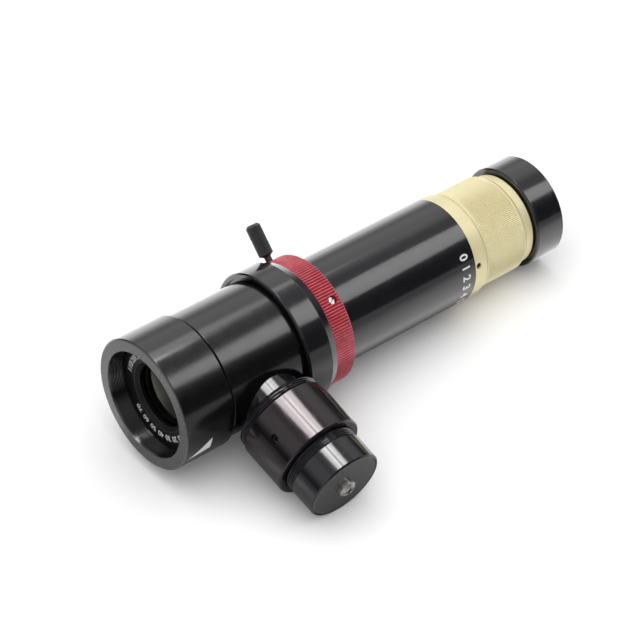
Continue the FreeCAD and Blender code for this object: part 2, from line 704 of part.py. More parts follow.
def build_port():
    """Port neck, condenser in its cell, sleeve with its set screw, and the screwed plug."""
    d = dim
    place = Placement(Vector(d.port_station, 0, 0), Rotation(Z_AXIS, -90))
    turned("port_neck", [
        (d.neck_foot, d.neck_bore), (d.neck_foot, d.neck_radius), (d.neck_thread_start, d.neck_radius)]
        + ridges(d.neck_thread_start, d.neck_thread_end, d.neck_thread_radius, d.thread_depth, NECK_RIDGES)
        + [(d.neck_thread_end, d.neck_journal_radius), (d.neck_end, d.neck_journal_radius),
           (d.neck_end, d.neck_bore)], place)
    turned("condenser_cell", [
        (d.condenser_start, d.condenser_lip), (d.condenser_start, d.condenser_cell_radius),
        (d.condenser_end, d.condenser_cell_radius), (d.condenser_end, d.condenser_lens_radius + d.slip_gap),
        (d.condenser_seat, d.condenser_lens_radius + d.slip_gap), (d.condenser_seat, d.condenser_lip)], place)
    convex_lens("condenser_lens", d.condenser_lens_radius, d.condenser_vertex, d.condenser_back,
                d.condenser_curve, d.condenser_curve, place)
    sleeve = turned("port_sleeve", [
        (d.sleeve_start, d.sleeve_bore), (d.sleeve_start, d.sleeve_radius - d.edge_break),
        (d.sleeve_start + d.edge_break, d.sleeve_radius), (d.sleeve_end - d.edge_break, d.sleeve_radius),
        (d.sleeve_end, d.sleeve_radius - d.edge_break), (d.sleeve_end, d.sleeve_thread_bore),
        (d.sleeve_web_end, d.sleeve_thread_bore), (d.sleeve_web_end, d.sleeve_web_bore),
        (d.sleeve_web_start, d.sleeve_web_bore), (d.sleeve_web_start, d.sleeve_bore)], place)
    drill(sleeve, d.sleeve_screw_station, d.sleeve_screw_angle, d.sleeve_screw_hole, 0.0)
    screw = turned("sleeve_set_screw", [
        (d.sleeve_screw_foot, 0), (d.sleeve_screw_foot, d.sleeve_screw_radius),
        (d.sleeve_screw_top, d.sleeve_screw_radius), (d.sleeve_screw_top, 0)],
        place.multiply(radial(d.sleeve_screw_station, d.sleeve_screw_angle)))
    hex_socket(screw, d.sleeve_screw_top, d.sleeve_socket, d.set_socket_depth)
    turned("plug_ring", [
        (d.plug_foot, d.plug_bore), (d.plug_foot, d.plug_radius - d.thread_depth),
        (d.sleeve_end, d.plug_radius - d.thread_depth)]
        + ridges(d.sleeve_end + d.edge_break, d.plug_thread_end, d.plug_radius, d.thread_depth, PLUG_RIDGES)
        + [(d.plug_thread_end + d.edge_break, d.plug_radius), (d.plug_end - d.edge_break, d.plug_radius),
           (d.plug_end, d.plug_radius - d.edge_break), (d.plug_end, d.plug_face_bore),
           (d.plug_web_end, d.plug_face_bore), (d.plug_web_end, d.plug_web_bore),
           (d.plug_web_start, d.plug_web_bore), (d.plug_web_start, d.plug_bore)], place)
    turned("plug_slug", [
        (d.slug_foot, 0), (d.slug_foot, d.slug_radius), (d.slug_groove_start, d.slug_radius),
        (d.slug_groove_start, d.slug_groove_radius), (d.slug_groove_end, d.slug_groove_radius),
        (d.slug_groove_end, d.slug_radius), (d.slug_face_start, d.slug_radius),
        (d.slug_face_start, d.slug_face_radius), (d.plug_end, d.slug_face_radius),
        (d.plug_end, d.end_screw_hole), (d.end_screw_foot - d.slip_gap, d.end_screw_hole),
        (d.end_screw_foot - d.slip_gap, 0)], place)
    turned("plug_clip", [
        (d.clip_start, d.clip_bore), (d.clip_start, d.clip_radius),
        (d.clip_end, d.clip_radius), (d.clip_end, d.clip_bore)], place)
    head_top = d.plug_end + d.end_screw_height
    screw = turned("plug_screw", [
        (d.end_screw_foot, 0), (d.end_screw_foot, d.end_screw_shank), (d.plug_end, d.end_screw_shank),
        (d.plug_end, d.end_screw_radius), (head_top - d.edge_break, d.end_screw_radius),
        (head_top, d.end_screw_radius - d.edge_break), (head_top, 0)], place)
    slot(screw, head_top, d.end_slot_width, d.end_slot_depth)


def resting_direction():
    """Upward direction, in the barrel frame, of the lens lying on its three lowest circles.

    Each circle's lowest point is its centre's height less its radius times the sine of the angle
    between its axis and the vertical; Newton steps make the three heights equal.
    """
    d = dim
    port_drop = float(d.plug_end - d.edge_break)

    def heights(lean, roll):
        rise = math.sqrt(1.0 - lean * lean - roll * roll)
        across_barrel = math.hypot(roll, rise)
        across_port = math.hypot(lean, rise)
        return (lean * d.collar_end - d.collar_radius * across_barrel,
                lean * (d.cap_end - d.edge_break) - d.cap_radius * across_barrel,
                lean * d.port_station - roll * port_drop - d.plug_radius * across_port)

    lean, roll, step = 0.0, 0.0, 1e-6
    for _ in range(20):
        collar, cap, port = heights(lean, roll)
        tilted, rolled = heights(lean + step, roll), heights(lean, roll + step)
        a = (tilted[1] - tilted[0] - cap + collar) / step
        b = (rolled[1] - rolled[0] - cap + collar) / step
        e = (tilted[2] - tilted[0] - port + collar) / step
        f = (rolled[2] - rolled[0] - port + collar) / step
        determinant = a * f - b * e
        lean -= ((cap - collar) * f - (port - collar) * b) / determinant
        roll -= ((port - collar) * a - (cap - collar) * e) / determinant
    return Vector(lean, roll, math.sqrt(1.0 - lean * lean - roll * roll))


def lay_down():
    """Turn and move every sub-part so that the lens lies on Z = 0 with the origin below its middle."""
    up = resting_direction()
    forward = (X_AXIS - up * up.x).normalize()
    side = up.cross(forward)
    turn = Rotation(forward, side, up, "XYZ").inverted()
    for item, place in nodes:
        item.Placement = Placement(Vector(), turn).multiply(place)
    document.recompute()
    box = Part.makeCompound([item.Shape for item, place in nodes]).optimalBoundingBox(False)
    shift = Vector(-box.Center.x, -box.Center.y, -box.ZMin)
    rest = Placement(shift, turn)
    for item, place in nodes:
        item.Placement = rest.multiply(place)
    document.recompute()


def check_and_write():
    """Stop on any failed feature or bad shape, then write one STEP file per sub-part."""
    for item in document.Objects:
        if "Invalid" in item.State or "Error" in item.State:
            raise RuntimeError("%s failed: %s" % (item.Label, item.State))
    os.makedirs("parts", exist_ok=True)
    for item, place in nodes:
        shape = item.Shape
        if shape.isNull() or not shape.isValid() or len(shape.Solids) != 1:
            raise RuntimeError("%s is not one valid solid" % item.Label)
    for item, place in nodes:
        item.Shape.exportStep(os.path.join("parts", item.Label + ".step"))
    print("wrote %d sub-parts" % len(nodes))


build_front()
build_body()
build_iris()
build_rear()
build_camera_end()
build_port()
lay_down()
check_and_write()
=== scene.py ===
"""Looks of a video measuring lens with a side illumination port.

Every visible piece is turned, threaded, knurled and drilled again as a smooth surface round the axis
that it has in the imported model, and dressed in its finish.  Stations and radii are in millimetres
along and about two axes: the barrel's, which runs from the front face to the camera, and the port's,
which runs outwards from the barrel.  Angles are in degrees, from each axis's side towards its up.
"""
import json
import logging
import math
from collections.abc import Callable, Iterable, Iterator
from contextlib import contextmanager
from dataclasses import dataclass, field
from enum import Enum

import bmesh
import bpy
import numpy as np
from mathutils import Matrix, Vector

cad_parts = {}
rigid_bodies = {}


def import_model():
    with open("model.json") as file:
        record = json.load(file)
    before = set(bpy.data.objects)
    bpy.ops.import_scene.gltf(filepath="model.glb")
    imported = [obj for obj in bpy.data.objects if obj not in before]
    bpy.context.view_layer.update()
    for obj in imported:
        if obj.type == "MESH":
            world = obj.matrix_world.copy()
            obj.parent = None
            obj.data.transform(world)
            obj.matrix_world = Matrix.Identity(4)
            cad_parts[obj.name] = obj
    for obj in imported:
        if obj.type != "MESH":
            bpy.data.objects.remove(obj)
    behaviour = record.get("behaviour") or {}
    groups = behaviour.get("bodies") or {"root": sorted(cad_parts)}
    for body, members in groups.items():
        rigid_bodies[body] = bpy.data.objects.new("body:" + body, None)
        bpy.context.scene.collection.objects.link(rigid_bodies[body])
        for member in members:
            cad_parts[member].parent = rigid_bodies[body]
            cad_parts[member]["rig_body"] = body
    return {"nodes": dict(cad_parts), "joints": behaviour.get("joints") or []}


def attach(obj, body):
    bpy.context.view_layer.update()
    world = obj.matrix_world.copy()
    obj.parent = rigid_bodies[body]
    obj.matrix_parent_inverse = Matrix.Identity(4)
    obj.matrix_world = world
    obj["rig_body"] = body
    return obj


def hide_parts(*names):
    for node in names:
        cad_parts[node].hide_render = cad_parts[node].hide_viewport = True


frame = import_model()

MM = 0.001
TURN = 2.0 * math.pi
ROUND_COLUMNS = 240          # columns of a smooth turned surface
SMALL_COLUMNS = 72           # columns of a screw or a lens
ARC_POINTS = 5               # points of a rounded corner
SUPPORT = 0.05               # distance of the support row beside a rounded corner
SHARP_DEGREES = 31.0
FACE_DEPTH = 0.3             # how far behind the front face the painted grey sheen, which stands in for the face's reflection, and the extra roughness reach
# painted grey sheen of the first face, standing in for the light that it reflects
FACE_SHEEN_GREY = (0.060, 0.060, 0.062)
FACE_ROUGHER = 0.12          # how much rougher the finish is there
SCREW_COLUMNS = 48           # columns of a set screw or of a drilled hole
DRILL_RUN_IN = 3.0           # how far a drill passes the surface that it comes out of
DRILL_RUN_OUT = 2.0          # how far it stands out of the surface that it enters

Corner = tuple[float, ...]   # station, radius, then its rounding and the rows of the run that follows
Step = tuple[float, float]   # where something starts and where it ends
Relief = Callable[[np.ndarray, np.ndarray, np.ndarray], np.ndarray]
log = logging.getLogger("lens")


# ---------------------------------------------------------------- axes and measures

@dataclass(frozen=True)
class Span:
    """Stations and radii between which a node lies about an axis, in millimetres."""

    start: float
    end: float
    inner: float
    outer: float


@dataclass(frozen=True)
class Axis:
    """A working frame: its rows point outwards along an axis, to its side and up, in the model."""

    name: str
    origin: np.ndarray
    basis: np.ndarray

    def place(self, points: np.ndarray) -> np.ndarray:
        """Carry points from this axis's millimetres to the model's metres."""
        return self.origin + points @ self.basis * MM

    def local(self, points: np.ndarray) -> np.ndarray:
        """Carry points from the model's metres to this axis's millimetres."""
        return (points - self.origin) @ self.basis.T / MM

    def span(self, node: str) -> Span:
        """Measure a node about this axis.

        Args:
            node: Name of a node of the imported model.
        Returns:
            Its first and last station and its smallest and largest radius.
        """
        points = self.local(node_points(node))
        radii = np.hypot(points[:, 1], points[:, 2])
        low, high = points[:, 0].min(), points[:, 0].max()
        return Span(float(low), float(high), float(radii.min()), float(radii.max()))

    def radial(self, station: float, angle: float) -> "Axis":
        """The axis that leaves this one at a right angle.

        Args:
            station: Where it leaves, in millimetres.
            angle: Its direction round this axis, in degrees.
        Returns:
            An axis whose stations are distances from this axis.
        """
        turn = math.radians(angle)
        rows = np.array([[0.0, math.cos(turn), math.sin(turn)], [-1.0, 0.0, 0.0],
                         [0.0, -math.sin(turn), math.cos(turn)]])
        return Axis(self.name, self.place(np.array([station, 0.0, 0.0])), rows @ self.basis)

    def mapping(self) -> dict[str, tuple[float, ...]]:
        """Location, rotation and scale that carry Object coordinates to this axis's millimetres."""
        spin = Matrix(self.basis.tolist())
        shift = spin @ Vector(self.origin.tolist())
        return {"Location": tuple(-shift / MM), "Rotation": tuple(spin.to_euler("XYZ")),
                "Scale": (1.0 / MM,) * 3}


def mesh_points(mesh: bpy.types.Mesh) -> np.ndarray:
    """A mesh's corners, one per row."""
    flat = np.empty(len(mesh.vertices) * 3)
    mesh.vertices.foreach_get("co", flat)
    return flat.reshape(-1, 3)


def node_points(node: str) -> np.ndarray:
    """Corners of a node's mesh, one per row, in metres."""
    return mesh_points(frame["nodes"][node].data)


def joint(name: str) -> tuple[np.ndarray, np.ndarray]:
    """Point and direction of a joint's axis.

    Args:
        name: Name of a hinge of the record.
    Returns:
        A point on its axis in metres, and the axis's unit direction.
    """
    found = next(item for item in frame["joints"] if item["name"] == name)
    direction = np.array(found["axis"], float)
    return np.array(found["pos_m"], float), direction / np.linalg.norm(direction)


def barrel_axis() -> Axis:
    """The optical axis: through the iris joint, starting at the front ring's face."""
    point, along = joint("iris_turn")
    outwards = joint("sleeve_turn")[1]
    side = -(outwards - along * (outwards @ along))
    side /= np.linalg.norm(side)
    start = ((node_points("front_ring") - point) @ along).min()
    return Axis("barrel", point + along * start, np.array([along, side, np.cross(along, side)]))


def port_axis(barrel: Axis) -> Axis:
    """The illumination port's axis, starting where it meets the optical axis."""
    station = barrel.local(joint("sleeve_turn")[0])[0]
    along, side, up = barrel.basis
    return Axis("port", barrel.place(np.array([station, 0.0, 0.0])), np.array([-side, along, up]))


# ---------------------------------------------------------------- turned surfaces

@dataclass(frozen=True)
class Line:
    """Points of a turned outline: stations, radii, and wear, 1 on a rounded edge and 0 elsewhere."""

    x: np.ndarray
    r: np.ndarray
    wear: np.ndarray
    closed: bool


def corner_arc(before: np.ndarray, corner: np.ndarray, after: np.ndarray) -> np.ndarray:
    """Points of one rounded corner.

    The arc touches both runs at the rounding divided by the tangent of half the corner's angle, and
    its centre lies on the bisector at the rounding divided by the sine of that half angle.

    Args:
        before: The outline's previous corner.
        corner: The corner itself, whose third number is its rounding.
        after: The outline's next corner.
    Returns:
        The arc's points, or the corner alone where nothing is rounded.
    """
    place, rounding = corner[:2], corner[2]
    back, ahead = before[:2] - place, after[:2] - place
    lengths = np.linalg.norm(back), np.linalg.norm(ahead)
    if rounding <= 0.0 or min(lengths) == 0.0:
        return place[None]
    back, ahead = back / lengths[0], ahead / lengths[1]
    half = math.acos(float(np.clip(back @ ahead, -1.0, 1.0))) / 2.0
    if half > math.radians(88.0):
        return place[None]
    reach = min(rounding / math.tan(half), 0.45 * min(lengths))
    rounding = reach * math.tan(half)
    bisector = (back + ahead) / np.linalg.norm(back + ahead)
    centre = place + bisector * rounding / math.sin(half)
    first, last = place + back * reach - centre, place + ahead * reach - centre
    sweep = math.pi - 2.0 * half
    share = np.linspace(0.0, 1.0, ARC_POINTS)[:, None]
    weights = np.sin((1.0 - share) * sweep), np.sin(share * sweep)
    return centre + (weights[0] * first + weights[1] * last) / math.sin(sweep)


def outline(corners: list[Corner], closed: bool = True) -> Line:
    """Round an outline's corners and divide its runs.

    Args:
        corners: Station and radius of each corner, then its rounding and the rows of its run.
        closed: Whether the last corner runs back to the first.
    Returns:
        The outline's points in order.
    """
    table = [np.array((*corner, *(0.0, 1.0)[len(corner) - 2:]), float) for corner in corners]
    count = len(table)
    arcs = [corner_arc(table[i - 1], table[i], table[(i + 1) % count])
            if closed or 0 < i < count - 1 else table[i][None, :2] for i in range(count)]
    points, wear = [], []
    for index, arc in enumerate(arcs):
        points.append(arc)
        wear.append(np.full(len(arc), float(len(arc) > 1)))
        if not closed and index == count - 1:
            break
        start, end = arc[-1], arcs[(index + 1) % count][0]
        length = float(np.linalg.norm(end - start))
        share = np.linspace(0.0, 1.0, int(table[index][3]) + 1)[1:-1]
        if length > 4.0 * SUPPORT:
            share = np.unique(np.append(share, [SUPPORT / length, 1.0 - SUPPORT / length]))
        points.append(start + share[:, None] * (end - start))
        wear.append(np.zeros(len(share)))
    joined = np.vstack(points)
    return Line(joined[:, 0], joined[:, 1], np.concatenate(wear), closed)


@dataclass
class Skin:
    """A closed surface: its points in an axis's millimetres, its faces, and each point's lightening: wear on
    rounded edges, and on cut crests partly wear and partly a painted highlight.
    """

    points: np.ndarray
    faces: list[list[int]]
    wear: np.ndarray


def revolve(line: Line, columns: int = ROUND_COLUMNS, relief: Relief | None = None) -> Skin:
    """Turn an outline about the axis.

    A point at station x and angle a lies at (x, R cos a, R sin a), where R is the outline's radius
    plus the relief there.  Where a row is cut at all, its crests are lightened, partly as rubbed wear and
    partly as a painted highlight, by the square of what is left uncut.  An open outline starts and ends
    on the axis, in a pole at each end.

    Args:
        line: The outline.
        columns: How many columns go round the axis.
        relief: What is added to the radius, from stations, radii and angles.
    Returns:
        The closed surface.
    """
    angle = np.arange(columns) * (TURN / columns)
    x, r = np.broadcast_arrays(line.x[:, None], line.r[:, None] + 0.0 * angle)
    cut = relief(x, r, angle[None, :] + 0.0 * x) if relief else 0.0 * r
    radius = r + cut
    deepest = max(float(np.abs(cut).max()), SUPPORT)
    # painted highlight and wear: the crests of cut rows are lightened by the square of what is left uncut
    crest = (1.0 - np.abs(cut) / deepest) ** 2 * (np.abs(cut).max(axis=1, keepdims=True) > 0.0)
    points = np.stack([x + 0.0 * radius, radius * np.cos(angle), radius * np.sin(angle)], axis=-1)
    rows = len(line.x)
    index = np.arange(rows * columns).reshape(rows, columns)
    beside = np.roll(index, -1, axis=1)
    faces: list[list[int]] = []
    first, last = 0, rows - 1
    if not line.closed:
        first, last = 1, rows - 2
        for pole, ring in ((0, 1), (rows - 1, rows - 2)):
            fan = np.stack([np.full(columns, index[pole, 0]), index[ring], beside[ring]], axis=-1)
            faces += fan.tolist()
    low = index[first:last] if not line.closed else index
    low_beside = beside[first:last] if not line.closed else beside
    high = index[first + 1:last + 1] if not line.closed else np.roll(index, -1, axis=0)
    high_beside = beside[first + 1:last + 1] if not line.closed else np.roll(beside, -1, axis=0)
    faces += np.stack([low, low_beside, high_beside, high], axis=-1).reshape(-1, 4).tolist()
    return Skin(points.reshape(-1, 3), faces, np.maximum(line.wear[:, None], crest).ravel())


def prism(radius: float, corners: int, start: float, end: float, turn: float = 0.0) -> Skin:
    """A straight cutter about the axis: a circle or a polygon.

    Args:
        radius: Distance of its corners from the axis.
        corners: How many corners it has.
        start: Station of its first end.
        end: Station of its last end.
        turn: Angle of its first corner, in degrees.
    Returns:
        The closed surface.
    """
    angle = np.arange(corners) * (TURN / corners) + math.radians(turn)
    ring = np.stack([radius * np.cos(angle), radius * np.sin(angle)], axis=-1)
    points = np.vstack([np.column_stack([np.full(corners, x), ring]) for x in (start, end)])
    index = np.arange(corners)
    beside = (index + 1) % corners
    sides = np.stack([index, beside, beside + corners, index + corners], axis=-1).tolist()
    caps = [index[::-1].tolist(), (index + corners).tolist()]
    return Skin(points, sides + caps, np.zeros(len(points)))


def cap(vertex: float, curve: float, radius: float, rows: int) -> list[Corner]:
    """Corners of a lens surface, from the optical axis outwards.

    The station at radius r is the vertex plus the curve less the root of curve squared less r
    squared, for a curve whose centre lies ahead, and the mirror of that for a negative curve.

    Args:
        vertex: Station of the surface on the axis.
        curve: Radius of curvature, negative where its centre lies behind.
        radius: Radius of the glass.
        rows: How many rows the surface has.
    Returns:
        The corners, the first one on the axis.
    """
    r = np.linspace(0.0, radius, rows)
    x = vertex + curve - math.copysign(1.0, curve) * np.sqrt(curve ** 2 - r ** 2)
    return list(zip(x.tolist(), r.tolist()))


def knurl(teeth: int, depth: float, crest: float, slack: float = 0.35,
          ends: tuple[float, float] = (-math.inf, math.inf)) -> Relief:
    """Straight teeth along the axis.

    The groove's depth is a triangle wave of the angle, flattened at crest and root; it fades to
    nothing as the radius falls from the crest by the slack.

    Args:
        teeth: How many teeth go round.
        depth: Depth of the grooves.
        crest: Radius of the crests.
        slack: How far below the crest the teeth still reach.
        ends: Stations between which there are teeth.
    Returns:
        The relief.
    """
    def relief(x: np.ndarray, r: np.ndarray, angle: np.ndarray) -> np.ndarray:
        """Depth of the groove, as a negative number."""
        phase = np.abs((angle * teeth / TURN) % 1.0 - 0.5) * 2.0
        groove = np.clip(phase * 1.5 - 0.32, 0.0, 1.0)
        cut = -depth * groove * np.clip((r - crest + slack) / slack, 0.0, 1.0)
        return cut * ((x > ends[0]) & (x < ends[1]))
    return relief


def thread(start: float, end: float, pitch: float, depth: float, crest: float,
           inside: bool = False) -> Relief:
    """A helical thread between two stations.

    The groove's depth is a flattened triangle wave of the station over the pitch less the angle
    over a full turn, and it fades within half a pitch of each end.

    Args:
        start: First station of the thread.
        end: Last station of the thread.
        pitch: Distance between its turns.
        depth: Depth of its grooves.
        crest: Radius of the surface that it is cut in.
        inside: Whether it is cut in a bore.
    Returns:
        The relief.
    """
    def relief(x: np.ndarray, r: np.ndarray, angle: np.ndarray) -> np.ndarray:
        """Depth of the groove, negative on a rod and positive in a bore."""
        phase = np.abs((x / pitch - angle / TURN) % 1.0 - 0.5) * 2.0
        groove = np.clip(phase * 1.35 - 0.15, 0.0, 1.0)
        fade = np.clip(np.minimum(x - start, end - x) / (0.5 * pitch), 0.0, 1.0)
        cut = depth * groove * fade * (np.abs(r - crest) < 0.02)
        return cut if inside else -cut
    return relief


# ---------------------------------------------------------------- shaders

class Signal:
    """A shader socket that can be reckoned with as a number."""

    def __init__(self, shader: "Shader", socket: bpy.types.NodeSocket) -> None:
        """Wrap a socket of a shader."""
        self.shader = shader
        self.socket = socket

    def math(self, operation: str, *values: "Signal | float") -> "Signal":
        """Add one Math node.

        Args:
            operation: The node's operation.
            values: Its further inputs.
        Returns:
            The result.
        """
        sockets = dict(enumerate((self, *values)))
        return self.shader.signal("ShaderNodeMath", {"operation": operation}, sockets)

    def __add__(self, other: "Signal | float") -> "Signal":
        """Sum."""
        return self.math("ADD", other)

    def __sub__(self, other: "Signal | float") -> "Signal":
        """Difference."""
        return self.math("SUBTRACT", other)

    def __mul__(self, other: "Signal | float") -> "Signal":
        """Product."""
        return self.math("MULTIPLY", other)

    def __rsub__(self, other: float) -> "Signal":
        """Difference from a number."""
        return (self * -1.0) + other

    __radd__ = __add__
    __rmul__ = __mul__

    def smooth(self, low: float, high: float) -> "Signal":
        """Nothing up to low, one from high, and a smooth step between them."""
        sockets = {"Value": self, "From Min": low, "From Max": high}
        return self.shader.signal("ShaderNodeMapRange", {"interpolation_type": "SMOOTHSTEP"}, sockets)


class Shader:
    """The node tree of a material or of the world."""

    def __init__(self, owner: bpy.types.Material | bpy.types.World) -> None:
        """Empty the owner's node tree."""
        owner.use_nodes = True
        self.tree = owner.node_tree
        self.tree.nodes.clear()

    def node(self, kind: str, settings: dict[str, object] | None = None,
             sockets: dict[str | int, object] | None = None) -> bpy.types.Node:
        """Add a node.

        Args:
            kind: The node's type.
            settings: Its settings, which are set first.
            sockets: Its input sockets' values, or what is linked to them.
        Returns:
            The node.
        """
        node = self.tree.nodes.new(kind)
        for key, value in (settings or {}).items():
            setattr(node, key, value)
        for key, value in (sockets or {}).items():
            if isinstance(value, Signal):
                self.tree.links.new(value.socket, node.inputs[key])
            else:
                node.inputs[key].default_value = value
        return node

    def signal(self, kind: str, settings: dict[str, object] | None = None,
               sockets: dict[str | int, object] | None = None, output: str | int = 0) -> Signal:
        """Add a node and take one of its outputs as a signal."""
        return Signal(self, self.node(kind, settings, sockets).outputs[output])

    def mix(self, share: Signal | float, low: object, high: object) -> Signal:
        """Mix two colours."""
        return self.signal("ShaderNodeMix", {"data_type": "RGBA"}, {0: share, 6: low, 7: high}, 2)

    def ray(self, kind: str) -> Signal:
        """One on rays of a kind, such as Is Camera Ray, else nothing."""
        return self.signal("ShaderNodeLightPath", {}, {}, kind)

    def noise(self, vector: Signal, scale: float, detail: float = 3.0) -> Signal:
        """Noise of a place, about one half."""
        return self.signal("ShaderNodeTexNoise", {}, {"Vector": vector, "Scale": scale, "Detail": detail})

    def length(self, vector: Signal) -> Signal:
        """Length of a vector."""
        return self.signal("ShaderNodeVectorMath", {"operation": "LENGTH"}, {0: vector}, "Value")

    def dot(self, vector: Signal, direction: tuple[float, float, float]) -> Signal:
        """How far a vector reaches in a direction."""
        settings = {"operation": "DOT_PRODUCT"}
        return self.signal("ShaderNodeVectorMath", settings, {0: vector, 1: direction}, "Value")

    def output(self, kind: str, surface: Signal) -> None:
        """Finish the tree with its output node."""
        self.node(kind, {}, {"Surface": surface})


def rgba(colour: tuple[float, float, float]) -> tuple[float, float, float, float]:
    """An opaque colour."""
    return (*colour, 1.0)


def grey(level: float) -> tuple[float, float, float, float]:
    """An opaque grey."""
    return rgba((level, level, level))


@dataclass(frozen=True)
class Coat:
    """What a piece is dressed in, under the name of a record slot."""

    slot: str

    def material(self, axis: Axis) -> bpy.types.Material:
        """The coat about an axis.

        Args:
            axis: The axis that the piece is turned about.
        Returns:
            The material, made once for each axis.
        """
        name = f"{self.slot}_{axis.name}"
        if name in bpy.data.materials:
            return bpy.data.materials[name]
        material = bpy.data.materials.new(name)
        shader = Shader(material)
        place = shader.signal("ShaderNodeTexCoord", {}, {}, "Object")
        place = shader.signal("ShaderNodeMapping", {"vector_type": "POINT"},
                              {"Vector": place, **axis.mapping()})
        shader.output("ShaderNodeOutputMaterial", self.surface(shader, place))
        return material

    def surface(self, shader: Shader, place: Signal) -> Signal:
        """The coat's surface at a place on the axis's millimetres."""
        raise NotImplementedError


@dataclass(frozen=True)
class Finish(Coat):
    """A metal finish: its colours and gloss, and the marks that the lathe left in it."""

    colour: tuple[float, float, float]
    patch: tuple[float, float, float]            # colour of its faint clouds
    worn: tuple[float, float, float]             # colour of a rubbed edge, and of a cut crest, which is lightened partly by wear and partly as a painted highlight
    roughness: float
    roughness_swing: float = 0.04
    metallic: float = 0.0
    ior: float = 1.7
    tint: tuple[float, float, float] = (1.0, 1.0, 1.0)
    marks: float = 9.0                           # lathe marks per millimetre
    mark_depth: float = 0.05
    grain: float = 0.03
    wear: float = 0.35
    dust: float = 0.10
    face: float = 0.0                            # how much painted grey sheen, standing in for its reflection, and extra roughness the first face on its axis gets

    def surface(self, shader: Shader, place: Signal) -> Signal:
        """Metal with lathe marks, clouds, smudges, grain, dust and rubbed edges, cut crests lightened partly
        by wear and partly as a painted highlight, and a painted grey sheen for the first face's reflection.

        Lathe marks are noise of station plus radius, so that they run round the axis on cylinders
        and flat faces alike; the rest is noise of the place.

        Args:
            shader: The material's node tree.
            place: The place, in the axis's millimetres.
        Returns:
            The surface.
        """
        station = shader.dot(place, (1.0, 0.0, 0.0))
        across = shader.signal("ShaderNodeVectorMath", {"operation": "MULTIPLY"},
                               {0: place, 1: (0.0, 1.0, 1.0)})
        lathe = shader.signal("ShaderNodeTexNoise", {"noise_dimensions": "1D"},
                              {"W": station + shader.length(across), "Scale": self.marks, "Detail": 2.0})
        clouds = shader.noise(place, 0.09)
        smudge = shader.noise(place, 0.35, 5.0).smooth(0.42, 0.66)
        grain = shader.noise(place, 14.0, 2.0)
        specks = shader.signal("ShaderNodeTexVoronoi", {"feature": "F1"}, {"Vector": place, "Scale": 0.42})
        speck = (0.045 - specks).math("GREATER_THAN", 0.0) * self.dust
        # rubbed edges are real wear; cut crests are lightened partly by wear and partly as a painted
        # highlight
        rubbed_and_sheen = shader.signal("ShaderNodeAttribute", {"attribute_name": "wear"}, {}, "Fac")
        rubbed_and_sheen = rubbed_and_sheen * (0.4 + 0.6 * shader.noise(place, 0.5).smooth(0.35, 0.65)) * self.wear
        colour = shader.mix(clouds.smooth(0.35, 0.65), rgba(self.colour), rgba(self.patch))
        colour = shader.mix(rubbed_and_sheen, colour, rgba(self.worn))
        colour = shader.mix(speck, colour, rgba((0.45, 0.45, 0.43)))
        # painted reflection: the first face is greyed to stand in for its reflection, and made rougher
        face = (FACE_DEPTH - station).smooth(0.0, 0.1) * self.face
        colour = shader.mix(face, colour, rgba(FACE_SHEEN_GREY))
        roughness = self.roughness + self.roughness_swing * ((lathe - 0.5) + (smudge - 0.3) * 0.8)
        height = lathe * self.mark_depth + grain * self.grain
        bump = shader.signal("ShaderNodeBump", {},
                             {"Strength": 0.35, "Distance": 0.00002, "Height": height}, "Normal")
        return shader.signal("ShaderNodeBsdfPrincipled", {}, {
            "Base Color": colour, "Roughness": roughness + face * FACE_ROUGHER + speck,
            "Metallic": self.metallic, "IOR": self.ior, "Specular Tint": rgba(self.tint), "Normal": bump})


@dataclass(frozen=True)
class Glass(Coat):
    """A glass: the colour of the light through it and of its coating, and faint cleaning smears."""

    colour: tuple[float, float, float]
    coating: tuple[float, float, float]
    ior: float
    reflection: float = 0.1

    def surface(self, shader: Shader, place: Signal) -> Signal:
        """Clear glass, slightly duller under the smears.

        Args:
            shader: The material's node tree.
            place: The place, in the axis's millimetres.
        Returns:
            The surface.
        """
        smear = shader.noise(place, 0.25, 4.0).smooth(0.45, 0.75)
        colour = shader.mix(smear, rgba(self.colour), rgba(tuple(0.93 * part for part in self.colour)))
        return shader.signal("ShaderNodeBsdfPrincipled", {}, {
            "Base Color": colour, "Roughness": smear * 0.03 + 0.01, "IOR": self.ior,
            "Specular Tint": rgba(self.coating), "Specular IOR Level": self.reflection,
            "Transmission Weight": 1.0})


BLACK_SATIN = Finish("black_satin", (0.0024, 0.0024, 0.0027), (0.0030, 0.0030, 0.0034),
                     (0.012, 0.012, 0.013), 0.16, face=1.0)
BLACK_GLOSS = Finish("black_gloss", (0.0060, 0.0060, 0.0080), (0.0075, 0.0075, 0.0095),
                     (0.05, 0.05, 0.06), 0.12)
RETAINER_BLACK = Finish("retainer_black", (0.003, 0.003, 0.0033), (0.004, 0.004, 0.0043), (0.20, 0.20, 0.20),
                        0.45, ior=1.4, marks=4.0)
KNURL_BLACK = Finish("knurl_black", (0.006, 0.006, 0.006), (0.009, 0.009, 0.009), (0.06, 0.06, 0.06), 0.40,
                     wear=0.5)
BLACK_SCREW = Finish("black_screw", (0.004, 0.004, 0.0045), (0.006, 0.006, 0.0065), (0.08, 0.08, 0.08), 0.42)
SLEEVE_BLACK = Finish("sleeve_black", (0.0048, 0.0036, 0.0038), (0.006, 0.0045, 0.0048),
                      (0.06, 0.05, 0.05), 0.12, tint=(1.0, 0.90, 0.92))
PLUG_FACE = Finish("plug_face", (0.018, 0.018, 0.019), (0.024, 0.024, 0.025), (0.25, 0.25, 0.26), 0.14,
                   marks=6.0, mark_depth=0.08)
RED = Finish("red_anodised", (0.38, 0.017, 0.034), (0.34, 0.014, 0.029), (0.66, 0.15, 0.19), 0.36,
             metallic=0.40, wear=0.7, marks=4.0)
